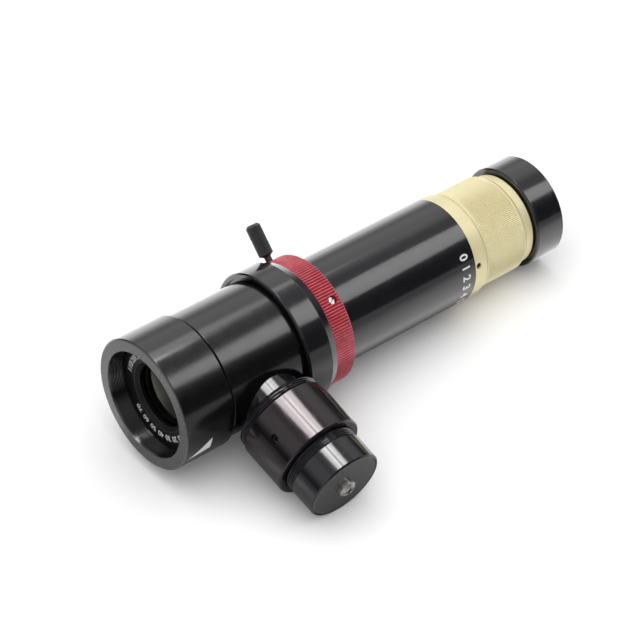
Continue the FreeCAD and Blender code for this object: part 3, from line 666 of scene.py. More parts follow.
CHAMPAGNE = Finish("champagne_anodised", (0.74, 0.665, 0.395), (0.71, 0.635, 0.375),
                   (0.86, 0.81, 0.58), 0.48, metallic=0.28, grain=0.4, wear=0.5, marks=5.0)
STEEL = Finish("steel", (0.62, 0.60, 0.57), (0.55, 0.53, 0.51), (0.75, 0.73, 0.70), 0.33,
               metallic=1.0, marks=5.0, mark_depth=0.3)
BLADE_STEEL = Finish("blade_steel", (0.05, 0.05, 0.056), (0.07, 0.07, 0.075), (0.2, 0.2, 0.2),
                     0.35, metallic=0.9)
BRASS = Finish("brass", (0.72, 0.53, 0.25), (0.66, 0.48, 0.22), (0.85, 0.7, 0.4), 0.3, metallic=1.0)
CONDENSER_METAL = Finish("condenser_metal", (0.04, 0.04, 0.04), (0.05, 0.05, 0.05), (0.2, 0.2, 0.2), 0.5)
INK = Finish("ink", (0.72, 0.72, 0.70), (0.66, 0.66, 0.64), (0.72, 0.72, 0.72), 0.5, mark_depth=0.0)
COATED_GLASS = Glass("coated_glass", (0.10, 0.09, 0.05), (1.0, 0.90, 0.55), 1.25)
SPLITTER_GLASS = Glass("splitter_glass", (0.60, 0.62, 0.58), (1.0, 1.0, 1.0), 1.52)


# ---------------------------------------------------------------- pieces

class Recess(Enum):
    """The driver recess in a screw's end."""

    SLOT = "slot"
    CROSS = "cross"
    HEXAGON = "hexagon"


@contextmanager
def editing(mesh: bpy.types.Mesh) -> Iterator[bmesh.types.BMesh]:
    """Open a mesh for editing, and write it back afterwards."""
    form = bmesh.new()
    form.from_mesh(mesh)
    yield form
    form.to_mesh(mesh)
    form.free()


def linked(name: str, data: bpy.types.ID) -> bpy.types.Object:
    """Put data into the scene as an object at the origin."""
    piece = bpy.data.objects.new(name, data)
    bpy.context.scene.collection.objects.link(piece)
    return piece


def evaluated(piece: bpy.types.Object) -> bpy.types.Mesh:
    """The mesh that an object's curve or modifiers come out as."""
    return bpy.data.meshes.new_from_object(piece.evaluated_get(bpy.context.evaluated_depsgraph_get()))


def make_object(name: str, axis: Axis, skin: Skin) -> bpy.types.Object:
    """Put a closed surface into the scene with its faces turned outwards.

    Args:
        name: The object's name.
        axis: The axis whose millimetres the surface is in.
        skin: The surface.
    Returns:
        The object, at the origin with its place in its mesh.
    """
    mesh = bpy.data.meshes.new(name)
    mesh.from_pydata(axis.place(skin.points).tolist(), [], skin.faces)
    # point attribute: rubbed wear on rounded edges, and on cut crests partly wear and partly a painted
    # highlight
    wear = mesh.attributes.new("wear", "FLOAT", "POINT")
    wear.data.foreach_set("value", skin.wear.astype(np.float32))
    with editing(mesh) as form:
        loose = [vertex for vertex in form.verts if not vertex.link_faces]
        bmesh.ops.delete(form, geom=loose, context="VERTS")
        bmesh.ops.recalc_face_normals(form, faces=form.faces)
    return linked(name, mesh)


def carve(piece: bpy.types.Object, axis: Axis, cutter: Skin) -> None:
    """Take a closed cutter's shape out of a piece.

    Args:
        piece: The object that is cut.
        axis: The axis whose millimetres the cutter is in.
        cutter: The cutter's surface.
    """
    tool = make_object("cutter", axis, cutter)
    modifier = piece.modifiers.new("cut", "BOOLEAN")
    modifier.operation = "DIFFERENCE"
    modifier.solver = "EXACT"
    modifier.object = tool
    cut = evaluated(piece)
    piece.modifiers.clear()
    piece.data = cut
    bpy.data.objects.remove(tool)


def turned(node: str, form: str, axis: Axis, finish: Coat, corners: list[Corner], *,
           columns: int = ROUND_COLUMNS, relief: Relief | None = None, closed: bool = True,
           cuts: Iterable[tuple[Axis, Skin]] = ()) -> None:
    """Turn a piece, cut it, dress it, and let it stand for its node on the node's body.

    Args:
        node: The node that it stands for.
        form: What its name says of its form, after the node's name.
        axis: The axis that it is turned about.
        finish: What it is dressed in.
        corners: Its outline.
        columns: How many columns go round it.
        relief: What is added to its radius.
        closed: Whether its outline is closed, or runs from pole to pole.
        cuts: Cutters that are taken out of it, each with its own axis.
    """
    piece = make_object(f"{node}_{form}", axis, revolve(outline(corners, closed), columns, relief))
    for own, cutter in cuts:
        carve(piece, own, cutter)
    piece.data.shade_smooth()
    piece.data.set_sharp_from_angle(angle=math.radians(SHARP_DEGREES))
    piece.data.materials.clear()
    piece.data.materials.append(finish.material(axis))
    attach(piece, frame["nodes"][node]["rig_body"])
    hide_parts(node)
    log.info("%s: %d faces, %s", piece.name, len(piece.data.polygons), finish.slot)


def hole(axis: Axis, station: float, angle: float, radius: float, depths: tuple[float, float]
         ) -> tuple[Axis, Skin]:
    """A drill that enters at a right angle to an axis, between two distances from it."""
    return axis.radial(station, angle), prism(radius, SCREW_COLUMNS, *depths)


def recess(axis: Axis, kind: Recess, top: float, size: float, depth: float, width: float = 0.0,
           turn: float = 0.0) -> list[tuple[Axis, Skin]]:
    """Cutters of the driver recess in a screw's end.

    Args:
        axis: The screw's own axis.
        kind: The recess's form.
        top: Station of the screw's end.
        size: Radius that the recess reaches.
        depth: Its depth.
        width: Width of a slot or of a cross's arms.
        turn: Angle of the slot or the cross, in degrees.
    Returns:
        The cutters, each with the screw's axis.
    """
    if kind is Recess.HEXAGON:
        return [(axis, prism(size, 6, top - depth, top + depth))]
    thin = width / (2.0 * size)
    cos, sin = math.cos(math.radians(turn)), math.sin(math.radians(turn))
    arms = ((1.0, 1.0, thin), (1.0, thin, 1.0))
    cutters = []
    for arm in arms[:1 if kind is Recess.SLOT else 2]:
        bar = prism(size * math.sqrt(2.0), 4, top - depth, top + depth, turn=45.0)
        bar.points *= np.array(arm)
        bar.points[:, 1:] = bar.points[:, 1:] @ np.array([[cos, sin], [-sin, cos]])
        cutters.append((axis, bar))
    return cutters


def stud(s: Span, edge: float, rounding: float) -> list[Corner]:
    """Outline of a plain screw with a bevelled end, from pole to pole."""
    return [(s.start, 0.0), (s.start, s.outer), (s.end - edge, s.outer, rounding),
            (s.end, s.outer - edge, rounding, 3), (s.end, 0.0)]


def set_screw(own: Axis, node: str, socket: float) -> None:
    """Make and dress a set screw with a hexagon socket.

    Args:
        own: The screw's own axis.
        node: The node that it stands for.
        socket: Radius of its socket.
    """
    s = own.span(node)
    turned(node, "socketed", own, BLACK_SCREW, stud(s, 0.1, 0.03), columns=SCREW_COLUMNS, closed=False,
           cuts=recess(own, Recess.HEXAGON, s.end, socket, 0.9))


@dataclass(frozen=True)
class Lettering:
    """Figures on a turned surface, round a cylinder or round a flat front face."""

    axis: Axis
    carrier: str                 # the node whose body carries them
    station: float
    radius: float
    height: float
    weight: float                # how far their outlines are thickened
    on_face: bool = False

    def bend(self, flat: np.ndarray, angle: float) -> np.ndarray:
        """Carry flat points to the surface.

        Rightwards becomes the angle, the distance over the radius.  Upwards is along the axis on a
        cylinder and outwards on a front face, and the height above the paper is the other of the two.

        Args:
            flat: Points of the figures, with their height above the paper.
            angle: Angle of the flat points' origin, in degrees.
        Returns:
            The points in the axis's millimetres.
        """
        turn = math.radians(angle) + flat[:, 0] / self.radius
        along, out = (-flat[:, 2], flat[:, 1]) if self.on_face else (flat[:, 1], flat[:, 2])
        reach = self.radius + out
        return np.column_stack([self.station + along, reach * np.cos(turn), reach * np.sin(turn)])

    def write(self, name: str, text: str, angle: float) -> None:
        """Make one piece of figures.

        Args:
            name: The piece's name.
            text: The figures.
            angle: Where their middle stands, in degrees.
        """
        curve = bpy.data.curves.new(name, "FONT")
        curve.body, curve.size, curve.offset = text, self.height, self.weight
        curve.align_x, curve.align_y = "CENTER", "CENTER"
        curve.extrude, curve.resolution_u = 0.01, 6
        holder = linked(name + "_text", curve)
        mesh = evaluated(holder)
        bpy.data.objects.remove(holder)
        with editing(mesh) as form:
            bmesh.ops.triangulate(form, faces=form.faces)
            bmesh.ops.remove_doubles(form, verts=form.verts, dist=0.0005)
            long_edges = [edge for edge in form.edges if edge.calc_length() > 0.25 * self.height]
            bmesh.ops.subdivide_edges(form, edges=long_edges, cuts=3, use_grid_fill=True)
            bmesh.ops.triangulate(form, faces=form.faces)
        points = self.axis.place(self.bend(mesh_points(mesh), angle))
        mesh.vertices.foreach_set("co", points.ravel())
        mesh.update()
        ink(linked(name, mesh), self.axis, self.carrier)


def ink(piece: bpy.types.Object, axis: Axis, carrier: str) -> None:
    """Dress a mark in ink and let it ride on the body of the node that carries it."""
    piece.data.materials.clear()
    piece.data.materials.append(INK.material(axis))
    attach(piece, frame["nodes"][carrier]["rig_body"])
    log.info("%s: %d faces", piece.name, len(piece.data.polygons))


# ---------------------------------------------------------------- sub-assemblies

@dataclass
class Assembly:
    """Pieces that are turned about one axis."""

    axis: Axis

    def span(self, node: str) -> Span:
        """Measure a node about the assembly's axis."""
        return self.axis.span(node)

    def turned(self, node: str, form: str, finish: Coat, corners: list[Corner], **options: object) -> None:
        """Turn a piece about the assembly's axis."""
        turned(node, form, self.axis, finish, corners, **options)


@dataclass
class FrontEnd(Assembly):
    """Front ring, engraved retainer and the objective behind it."""

    bevel: float = 0.4
    mouth_radius: float = 16.35
    mouth_bevel: float = 0.8
    filter_radius: float = 16.0
    filter_pitch: float = 0.5
    filter_depth: float = 0.12
    socket: float = 17.65
    spigot: float = 10.55
    retainer_bevel: float = 1.0
    crown_curve: float = 38.0
    cement_curve: float = 32.0
    flint_curve: float = 120.0
    flint_back: float = 14.0
    lens_rows: int = 20
    lens_columns: int = 96
    figure_radius: float = 12.75
    figure_height: float = 2.5
    figure_step: float = 15.5
    first_figure: float = -156.0
    figures: tuple[int, ...] = (1, 2, 3, 4, 5, 6, 7, 11, 12, 13)
    index_stations: tuple[float, float] = (1.6, 8.8)
    index_angles: tuple[float, float] = (190.0, 181.0)
    index_width: float = 4.4

    def build(self) -> None:
        """Make and dress the front pieces."""
        self.ring()
        self.retainer()
        self.glass()
        self.index()

    def ring(self) -> None:
        """The front ring, with the filter thread in its mouth."""
        s, e, mouth = self.span("front_ring"), self.bevel, self.filter_radius
        step = self.span("objective_retainer").start - 0.1
        start = s.start + self.mouth_bevel
        self.turned("front_ring", "turned", BLACK_SATIN, [
            (start, mouth, 0.04), (s.start, self.mouth_radius, 0.05), (s.start, s.outer - e, 0.08, 4),
            (s.start + e, s.outer, 0.1, 4), (s.end - 0.12, s.outer, 0.06), (s.end, s.outer - 0.12, 0.06, 2),
            (s.end, self.socket), (self.spigot, self.socket), (self.spigot, s.inner), (step, s.inner),
            (step, mouth, 0.0, int(8 * step / self.filter_pitch))],
            relief=thread(start, step, self.filter_pitch, self.filter_depth, mouth, True))

    def retainer(self) -> None:
        """The retainer, with its bevelled opening and plain figures round its face."""
        s, b = self.span("objective_retainer"), self.retainer_bevel
        self.turned("objective_retainer", "turned", RETAINER_BLACK, [
            (s.start, s.inner + b, 0.08), (s.start, s.outer - 0.15, 0.05, 6),
            (s.start + 0.15, s.outer, 0.05), (s.end, s.outer), (s.end, s.inner),
            (s.start + b, s.inner, 0.08, 4)])
        lettering = Lettering(self.axis, "objective_retainer", s.start - 0.008, self.figure_radius,
                              self.figure_height, 0.03, on_face=True)
        for count in self.figures:
            lettering.write(f"retainer_figure_{count}", str(10 * count),
                            self.first_figure + self.figure_step * (count - 1))

    def glass(self) -> None:
        """The cemented doublet, as two smooth elements."""
        crown, flint, rows = self.span("objective_crown"), self.span("objective_flint"), self.lens_rows
        crown_corners = (cap(crown.start, self.crown_curve, crown.outer, rows)
                         + cap(crown.end, -self.cement_curve, crown.outer, rows)[::-1])
        flint_corners = (cap(crown.end + 0.05, -self.cement_curve, flint.outer, rows)
                         + cap(self.flint_back, -self.flint_curve, flint.outer, rows)[::-1])
        for node, corners in (("objective_crown", crown_corners), ("objective_flint", flint_corners)):
            self.turned(node, "polished", COATED_GLASS, corners, columns=self.lens_columns, closed=False)

    def index(self) -> None:
        """A plain slim triangle, on the side of the front ring.

        Its width grows evenly from its point to its base, and its angle changes evenly with its station.
        """
        outer = self.span("front_ring").outer
        share = np.linspace(0.0, 1.0, 13)[:, None]
        across = np.linspace(-0.5, 0.5, 9)
        side = np.concatenate([across, across[::-1]])[None, :]
        reach = outer + np.repeat((0.008, -0.03), across.size)[None, :] + 0.0 * share
        station = np.interp(share, (0.0, 1.0), self.index_stations) + 0.0 * reach
        turn = np.radians(np.interp(share, (0.0, 1.0), self.index_angles))
        turn = turn + side * (0.1 + share * self.index_width) / outer
        points = np.stack([station, reach * np.cos(turn), reach * np.sin(turn)], axis=-1)
        index = np.arange(reach.size).reshape(reach.shape)
        beside = np.roll(index, -1, axis=1)
        faces = np.stack([index[:-1], beside[:-1], beside[1:], index[1:]], axis=-1).reshape(-1, 4).tolist()
        faces += [index[0].tolist(), index[-1][::-1].tolist()]
        skin = Skin(points.reshape(-1, 3), faces, np.zeros(reach.size))
        ink(make_object("index_mark", self.axis, skin), self.axis, "front_ring")


@dataclass
class Body(Assembly):
    """Beam splitter housing and the collar behind it."""

    bevel: float = 0.4
    inner_bore: float = 16.0
    groove_radius: float = 18.3
    groove_start: float = 16.5
    body_start: float = 17.2
    body_radius: float = 19.0
    spigot_radius: float = 17.6
    tail_radius: float = 17.5
    recess_radius: float = 19.9
    recess_depth: float = 1.0
    port_station: float = 31.4
    port_angle: float = 180.0
    port_hole: float = 10.1

    def build(self) -> None:
        """Make and dress both pieces."""
        s, c, e, r = self.span("main_body"), self.span("collar"), self.bevel, self.body_radius
        seat, bore = c.start + self.recess_depth, self.tail_radius + 0.1
        drill = prism(self.port_hole, 96, 0.0, r + 4.0)
        self.turned("main_body", "turned", BLACK_SATIN, [
            (s.start, self.inner_bore), (s.start, self.spigot_radius),
            (self.groove_start, self.spigot_radius), (self.groove_start, self.groove_radius),
            (self.body_start, self.groove_radius), (self.body_start, r - e, 0.05),
            (self.body_start + e, r, 0.1, 12), (seat, r), (seat, self.tail_radius),
            (s.end, self.tail_radius), (s.end, self.inner_bore, 0.0, 12)],
            cuts=[(self.axis.radial(self.port_station, self.port_angle), drill)])
        self.turned("collar", "turned", BLACK_GLOSS, [
            (c.start, self.recess_radius, 0.06), (c.start, c.outer - e, 0.08, 2),
            (c.start + e, c.outer, 0.1, 6), (c.end - 0.06, c.outer, 0.03), (c.end, c.outer - 0.06, 0.02),
            (c.end, bore), (seat, bore), (seat, self.recess_radius)])


@dataclass
class IrisSection(Assembly):
    """Taper ring, knurled iris ring with its screw, and the lock screw."""

    teeth: int = 137
    columns_per_tooth: int = 8
    tooth_depth: float = 0.36
    ring_start: float = 53.7
    sleeve_radius: float = 17.8
    taper_bore: float = 18.0
    taper_radius: float = 20.3
    rim_bevel: float = 0.2
    drive_station: float = 58.3
    drive_angle: float = 113.3
    drive_hole: float = 1.3
    drive_turn: float = 36.0
    lock_station: float = 56.5
    lock_angle: float = 31.3
    lock_hole: float = 1.1
    lock_teeth: int = 30
    lock_depth: float = 0.16
    lock_bevel: float = 0.7
    head_foot: float = 21.3
    shank: float = 1.05

    def build(self) -> None:
        """Make and dress the pieces."""
        self.rings()
        self.drive_screw()
        self.lock_screw()

    def rings(self) -> None:
        """The tapered ring, and the red iris ring, knurled over its whole width."""
        s = self.span("taper_ring")
        self.turned("taper_ring", "turned", BLACK_GLOSS, [
            (s.start, self.taper_bore), (s.start, s.outer - 0.1, 0.03), (s.start + 0.1, s.outer, 0.03, 3),
            (s.end, self.taper_radius, 0.12), (s.end, self.taper_bore)])
        s, e = self.span("iris_ring"), self.rim_bevel
        depths = (s.inner - DRILL_RUN_IN, s.outer + DRILL_RUN_OUT)
        self.turned("iris_ring", "knurled", RED, [
            (s.start, s.inner), (s.start, self.sleeve_radius), (self.ring_start, self.sleeve_radius),
            (self.ring_start, s.outer - e, 0.04), (self.ring_start + e, s.outer, 0.08, 10),
            (s.end - e, s.outer, 0.08), (s.end, s.outer - e, 0.04), (s.end, s.inner)],
            columns=self.teeth * self.columns_per_tooth,
            relief=knurl(self.teeth, self.tooth_depth, s.outer),
            cuts=[hole(self.axis, self.drive_station, self.drive_angle, self.drive_hole, depths),
                  hole(self.axis, self.lock_station, self.lock_angle, self.lock_hole, depths)])

    def drive_screw(self) -> None:
        """The slotted screw that carries the iris ring's turn inwards."""
        own = self.axis.radial(self.drive_station, self.drive_angle)
        s = own.span("iris_drive_screw")
        turned("iris_drive_screw", "slotted", own, STEEL, stud(s, 0.12, 0.05), columns=SMALL_COLUMNS,
               closed=False,
               cuts=recess(own, Recess.SLOT, s.end, s.outer * 1.5, 0.5, 0.42, self.drive_turn))

    def lock_screw(self) -> None:
        """The long knurled thumbscrew, which turns the iris ring and clamps it."""
        own = self.axis.radial(self.lock_station, self.lock_angle)
        s, b = own.span("lock_screw"), self.lock_bevel
        neck, crest = self.head_foot, s.outer - 0.01
        turned("lock_screw", "knurled", own, KNURL_BLACK, [
            (s.start, 0.0), (s.start, self.shank - 0.1, 0.03), (s.start + 0.1, self.shank, 0.03, 4),
            (neck, self.shank), (neck + b, crest, 0.1, 8), (s.end - b, crest, 0.1, 2),
            (s.end, crest - b, 0.08, 3), (s.end, 0.0)], columns=self.lock_teeth * 8, closed=False,
            relief=knurl(self.lock_teeth, self.lock_depth, crest, 0.7))


@dataclass
class RearTube(Assembly):
    """The long glossy tube and the plain scale round its end."""

    bore: float = 14.6
    socket: float = 15.25
    socket_end: float = 66.1
    scale_station: float = 106.6
    scale_angle: float = 136.0
    scale_step: float = 12.0
    scale_figures: int = 6
    figure_height: float = 4.0

    def build(self) -> None:
        """Make and dress the tube and its scale."""
        s = self.span("rear_tube")
        self.turned("rear_tube", "turned", BLACK_GLOSS, [
            (s.start, self.socket), (s.start, s.outer - 0.1, 0.03), (s.start + 0.1, s.outer, 0.05, 20),
            (s.end - 0.12, s.outer, 0.05), (s.end, s.outer - 0.12, 0.05), (s.end, self.bore),
            (self.socket_end, self.bore), (self.socket_end, self.socket)])
        lettering = Lettering(self.axis, "rear_tube", self.scale_station, s.outer - 0.004,
                              self.figure_height, 0.10)
        for count in range(self.scale_figures):
            lettering.write(f"scale_figure_{count}", str(count), self.scale_angle + self.scale_step * count)


@dataclass
class CameraEnd(Assembly):
    """Mount flange, focus grip, camera nose and rear cap."""

    bevel: float = 0.4
    step_start: float = 115.3
    step_end: float = 115.9
    step_radius: float = 15.0
    journal: float = 13.55
    spigot_radius: float = 14.5
    spigot_end: float = 110.45
    set_station: float = 111.9
    set_angle: float = 153.6
    set_hole: float = 0.95
    set_foot: float = 13.1
    set_socket: float = 0.52
    grip_teeth: int = 170
    grip_bevel_start: float = 131.4
    grip_end_radius: float = 14.6
    grip_depth: float = 0.28
    nose_stem: float = 13.5
    nose_flange_start: float = 132.8
    nose_flange_end: float = 135.6
    thread_radius: float = 12.7
    thread_pitch: float = 0.794
    thread_depth: float = 0.35
    cap_bore: float = 12.85
    cap_floor: float = 144.8

    def build(self) -> None:
        """Make and dress the pieces."""
        self.flange()
        self.grip()
        self.nose()
        self.cap()

    def flange(self) -> None:
        """The gold mount flange, its three set screw holes and the screws in them."""
        s, e = self.span("mount_flange"), self.bevel
        angles = [self.set_angle + 120.0 * count for count in range(3)]
        depths = (self.set_foot, s.outer + DRILL_RUN_OUT)
        self.turned("mount_flange", "turned", CHAMPAGNE, [
            (s.start, s.inner), (s.start, self.spigot_radius), (self.spigot_end, self.spigot_radius),
            (self.spigot_end, s.outer - 0.1, 0.03), (self.spigot_end + 0.1, s.outer, 0.05, 6),
            (self.step_start - e, s.outer, 0.12), (self.step_start, s.outer - e, 0.12),
            (self.step_start, self.step_radius), (self.step_end, self.step_radius),
            (self.step_end, self.journal), (s.end, self.journal), (s.end, s.inner)],
            cuts=[hole(self.axis, self.set_station, angle, self.set_hole, depths)
                  for angle in angles])
        for number, angle in enumerate(angles, 1):
            own = self.axis.radial(self.set_station, angle)
            set_screw(own, f"mount_set_screw_{number}", self.set_socket)

    def grip(self) -> None:
        """The finely knurled focus grip, plain at both ends."""
        s, e, bend = self.span("focus_grip"), self.bevel, self.grip_bevel_start
        self.turned("focus_grip", "knurled", CHAMPAGNE, [
            (s.start, s.inner), (s.start, s.outer - e, 0.06), (s.start + e, s.outer, 0.12),
            (s.start + 1.3, s.outer, 0.0, 10), (bend - 0.5, s.outer), (bend, s.outer, 0.15, 2),
            (s.end, self.grip_end_radius, 0.08), (s.end, s.inner)], columns=self.grip_teeth * 6,
            relief=knurl(self.grip_teeth, self.grip_depth, s.outer, 0.05, (s.start + 1.2, bend - 0.4)))

    def nose(self) -> None:
        """The camera nose: stem, narrow flange and camera thread."""
        s, start, end = self.span("camera_nose"), self.nose_flange_start, self.nose_flange_end
        rows = int(10 * (s.end - end) / self.thread_pitch)
        self.turned("camera_nose", "threaded", CHAMPAGNE, [
            (s.start, s.inner), (s.start, self.nose_stem), (start, self.nose_stem),
            (start, s.outer - 0.15, 0.05), (start + 0.15, s.outer, 0.08, 3), (end - 0.2, s.outer, 0.08),
            (end, s.outer - 0.2, 0.05), (end, self.thread_radius, 0.0, rows),
            (s.end, self.thread_radius), (s.end, s.inner)],
            relief=thread(end, s.end, self.thread_pitch, self.thread_depth, self.thread_radius))

    def cap(self) -> None:
        """The glossy rear cap."""
        s, e = self.span("rear_cap"), self.bevel
        self.turned("rear_cap", "turned", BLACK_GLOSS, [
            (s.end, 0.0, 0.0, 5), (s.end, s.outer - e, 0.12, 2), (s.end - e, s.outer, 0.12, 6),
            (s.start + e, s.outer, 0.12), (s.start, s.outer - e, 0.12, 3), (s.start, self.cap_bore, 0.08),
            (self.cap_floor, self.cap_bore, 0.0, 4), (self.cap_floor, 0.0)], closed=False)


@dataclass
class Port(Assembly):
    """Illumination port: neck, sleeve with its set screw, plug ring, plug and its screw."""

    bevel: float = 0.4
    neck_radius: float = 10.0
    neck_thread: tuple[float, float] = (21.45, 23.8)
    journal: float = 11.0
    sleeve_bore: float = 11.08
    web_start: float = 33.6
    web_end: float = 35.0
    thread_bore: float = 11.85
    set_station: float = 32.1
    set_angle: float = 146.5
    set_hole: float = 1.3
    set_socket: float = 0.75
    thread_depth: float = 0.5
    plug_bore: float = 10.2
    plug_foot_step: float = 0.55
    plug_thread_end: float = 43.2
    plug_web: tuple[float, float, float] = (47.0, 49.8, 9.05)
    face_bore: float = 11.05
    slug_radius: float = 9.0
    slug_groove: tuple[float, float, float] = (45.9, 46.8, 8.2)
    slug_face_start: float = 49.9
    screw_hole: float = 1.25
    head_height: float = 2.0
    shank: float = 1.2

    def build(self) -> None:
        """Make and dress the port's pieces."""
        self.neck()
        self.sleeve()
        self.plug_ring()
        self.plug()
        self.end_screw()

    def neck(self) -> None:
        """The neck, with three turns of thread in front of the sleeve's journal."""
        s, (start, end) = self.span("port_neck"), self.neck_thread
        pitch = (end - start) / 3.0
        self.turned("port_neck", "threaded", BLACK_GLOSS, [
            (s.start, s.inner), (s.start, self.neck_radius, 0.0, 6), (start, self.neck_radius),
            (start, s.outer, 0.1, 1), (start + 0.1, s.outer, 0.0, 30), (end - 0.05, s.outer),
            (end, s.outer - 0.1), (end, self.journal), (s.end, self.journal), (s.end, s.inner)],
            relief=thread(start - pitch * 0.5, end + pitch * 0.5, pitch, self.thread_depth, s.outer))

    def sleeve(self) -> None:
        """The brown-black sleeve and the set screw deep in its hole."""
        s, e = self.span("port_sleeve"), self.bevel
        depths = (self.sleeve_bore - DRILL_RUN_IN, s.outer + DRILL_RUN_OUT)
        self.turned("port_sleeve", "turned", SLEEVE_BLACK, [
            (s.start, self.sleeve_bore, 0.05), (s.start, s.outer - e, 0.1), (s.start + e, s.outer, 0.12, 10),
            (s.end - e, s.outer, 0.12), (s.end, s.outer - e, 0.1), (s.end, self.thread_bore, 0.1),
            (self.web_end, self.thread_bore), (self.web_end, s.inner), (self.web_start, s.inner),
            (self.web_start, self.sleeve_bore)],
            cuts=[hole(self.axis, self.set_station, self.set_angle, self.set_hole, depths)])
        set_screw(self.axis.radial(self.set_station, self.set_angle), "sleeve_set_screw", self.set_socket)

    def plug_ring(self) -> None:
        """The plug's threaded ring."""
        s, e = self.span("plug_ring"), self.bevel
        start, end = self.span("port_sleeve").end, self.plug_thread_end
        web_start, web_end, web_bore = self.plug_web
        foot = s.outer - self.plug_foot_step
        self.turned("plug_ring", "threaded", BLACK_GLOSS, [
            (s.start, self.plug_bore), (s.start, foot), (start, foot), (start + e, s.outer, 0.0, 40),
            (end, s.outer), (end + e, s.outer, 0.0, 6), (s.end - e, s.outer, 0.1),
            (s.end, s.outer - e, 0.05),
            (s.end, self.face_bore, 0.03), (web_end, self.face_bore), (web_end, web_bore),
            (web_start, web_bore), (web_start, self.plug_bore)],
            relief=thread(start + e, end, (end - start - e) / 4.0, self.thread_depth, s.outer))

    def plug(self) -> None:
        """The plug's body with its fine-turned face."""
        s, foot = self.span("plug_slug"), self.span("plug_screw").start - 0.05
        groove_start, groove_end, groove_radius = self.slug_groove
        self.turned("plug_slug", "turned", PLUG_FACE, [
            (s.start, 0.0), (s.start, self.slug_radius), (groove_start, self.slug_radius),
            (groove_start, groove_radius), (groove_end, groove_radius), (groove_end, self.slug_radius),
            (self.slug_face_start, self.slug_radius), (self.slug_face_start, s.outer),
            (s.end - 0.15, s.outer, 0.05), (s.end, s.outer - 0.15, 0.08, 8), (s.end, self.screw_hole),
            (foot, self.screw_hole), (foot, 0.0)], closed=False)

    def end_screw(self) -> None:
        """The cross-recessed pan head screw in the middle of the plug's face."""
        s = self.span("plug_screw")
        under = s.end - self.head_height
        self.turned("plug_screw", "cross", STEEL, [
            (s.start, 0.0), (s.start, self.shank), (under, self.shank), (under, s.outer, 0.08, 2),
            (s.end - 0.8, s.outer, 0.25), (s.end, s.outer * 0.66, 0.5, 3), (s.end, 0.0)],
            columns=SMALL_COLUMNS, closed=False,
            cuts=recess(self.axis, Recess.CROSS, s.end, s.outer * 0.6, 0.9, 0.6))


@dataclass
class Inside(Assembly):
    """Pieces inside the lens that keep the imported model's own shape."""

    finishes: dict[str, Coat] = field(default_factory=lambda: {
        "objective_cell": BLACK_SATIN, "splitter_frame": BLACK_SATIN, "iris_housing": BLACK_SATIN,
        "iris_base_plate": BLACK_SATIN, "relay_cell": BLACK_SATIN, "relay_spacer": BLACK_SATIN,
        "relay_retainer": BLACK_SATIN, "iris_actuator": BLACK_SATIN, "splitter_plate": SPLITTER_GLASS,
        "relay_front_lens": COATED_GLASS, "relay_rear_lens": COATED_GLASS, "focus_key_pin": STEEL,
        "plug_clip": STEEL, "lock_pad": BRASS, "condenser_cell": CONDENSER_METAL,
        "condenser_lens": COATED_GLASS})

    def build(self) -> None:
        """Dress each node, blades included."""
        blades = {name: BLADE_STEEL for name in frame["nodes"] if name.startswith("iris_blade_")}
        for name, finish in {**self.finishes, **blades}.items():
            node = frame["nodes"][name]
            node.data.materials.clear()
            node.data.materials.append(finish.material(self.axis))
            log.info("%s: dressed in %s", name, finish.slot)


# ---------------------------------------------------------------- studio

@dataclass(frozen=True)
class Softbox:
    """A lamp that shows only in mirror-like surfaces: its direction, sides and brightness."""

    name: str
    direction: tuple[float, float, float]
    width: float
    height: float
    brightness: float
    distance: float = 0.7

    def build(self, centre: Vector) -> None:
        """Hang the lamp so that it looks at the lens.

        A lamp of area A that is to look as bright as L gives out the power pi L A.  It is left out
        of matt reflections, which the world's dome lights instead.

        Args:
            centre: What it looks at.
        """
        lamp = bpy.data.lights.new(self.name, "AREA")
        lamp.shape = "RECTANGLE"
        lamp.size, lamp.size_y = self.width, self.height
        lamp.energy = self.brightness * math.pi * self.width * self.height
        holder = linked(self.name, lamp)
        holder.visible_diffuse = False
        holder.visible_camera = False
        towards = Vector(self.direction).normalized()
        turn = towards.to_track_quat("Z", "Y").to_matrix().to_4x4()
        holder.matrix_world = Matrix.Translation(centre + towards * self.distance) @ turn


@dataclass(frozen=True)
class FloorLight:
    """Where the floor shines in mirror-like surfaces: places and steps in metres, on its own axes."""

    barrel_beside: float = 0.0144                # the barrel's line
    barrel_clear: Step = (0.00006, 0.00048)      # square of the distance from it
    rear_end: Step = (0.062, 0.078)              # where the barrel no longer darkens it
    port_place: Step = (-0.042, -0.022)
    port_clear: Step = (0.0003, 0.0020)          # square of the distance from it
    sweep_way: tuple[float, float, float] = (0.25, 0.97, 0.0)
    sweep_run: Step = (-0.10, 0.06)
    front_run: Step = (-0.14, -0.04)
    brightness: float = 1.5
    seen_glow: float = 0.03                      # glow that the camera sees
    paper_run: Step = (-0.20, -0.08)             # where the floor's painted shade in reflections lightens, along the floor's first axis
    paper_greys: Step = (0.20, 0.38)

    def share(self, shader: Shader, place: Signal, along: Signal) -> Signal:
        """How far the floor shines: at the back, and not under the barrel or round the port.

        Args:
            shader: The floor's node tree.
            place: The place on the floor.
            along: How far along the floor that is.
        Returns:
            One where it shines fully.
        """
        beside = shader.dot(place, (0.0, 1.0, 0.0))
        gap = beside - self.barrel_beside
        far, near = along - self.port_place[0], beside - self.port_place[1]
        clear = (gap * gap).smooth(*self.barrel_clear)
        clear = 1.0 - (1.0 - clear) * (1.0 - along.smooth(*self.rear_end))
        port = far * far + near * near
        sweep = shader.dot(place, self.sweep_way).smooth(*self.sweep_run)
        return sweep * clear * port.smooth(*self.port_clear) * along.smooth(*self.front_run)


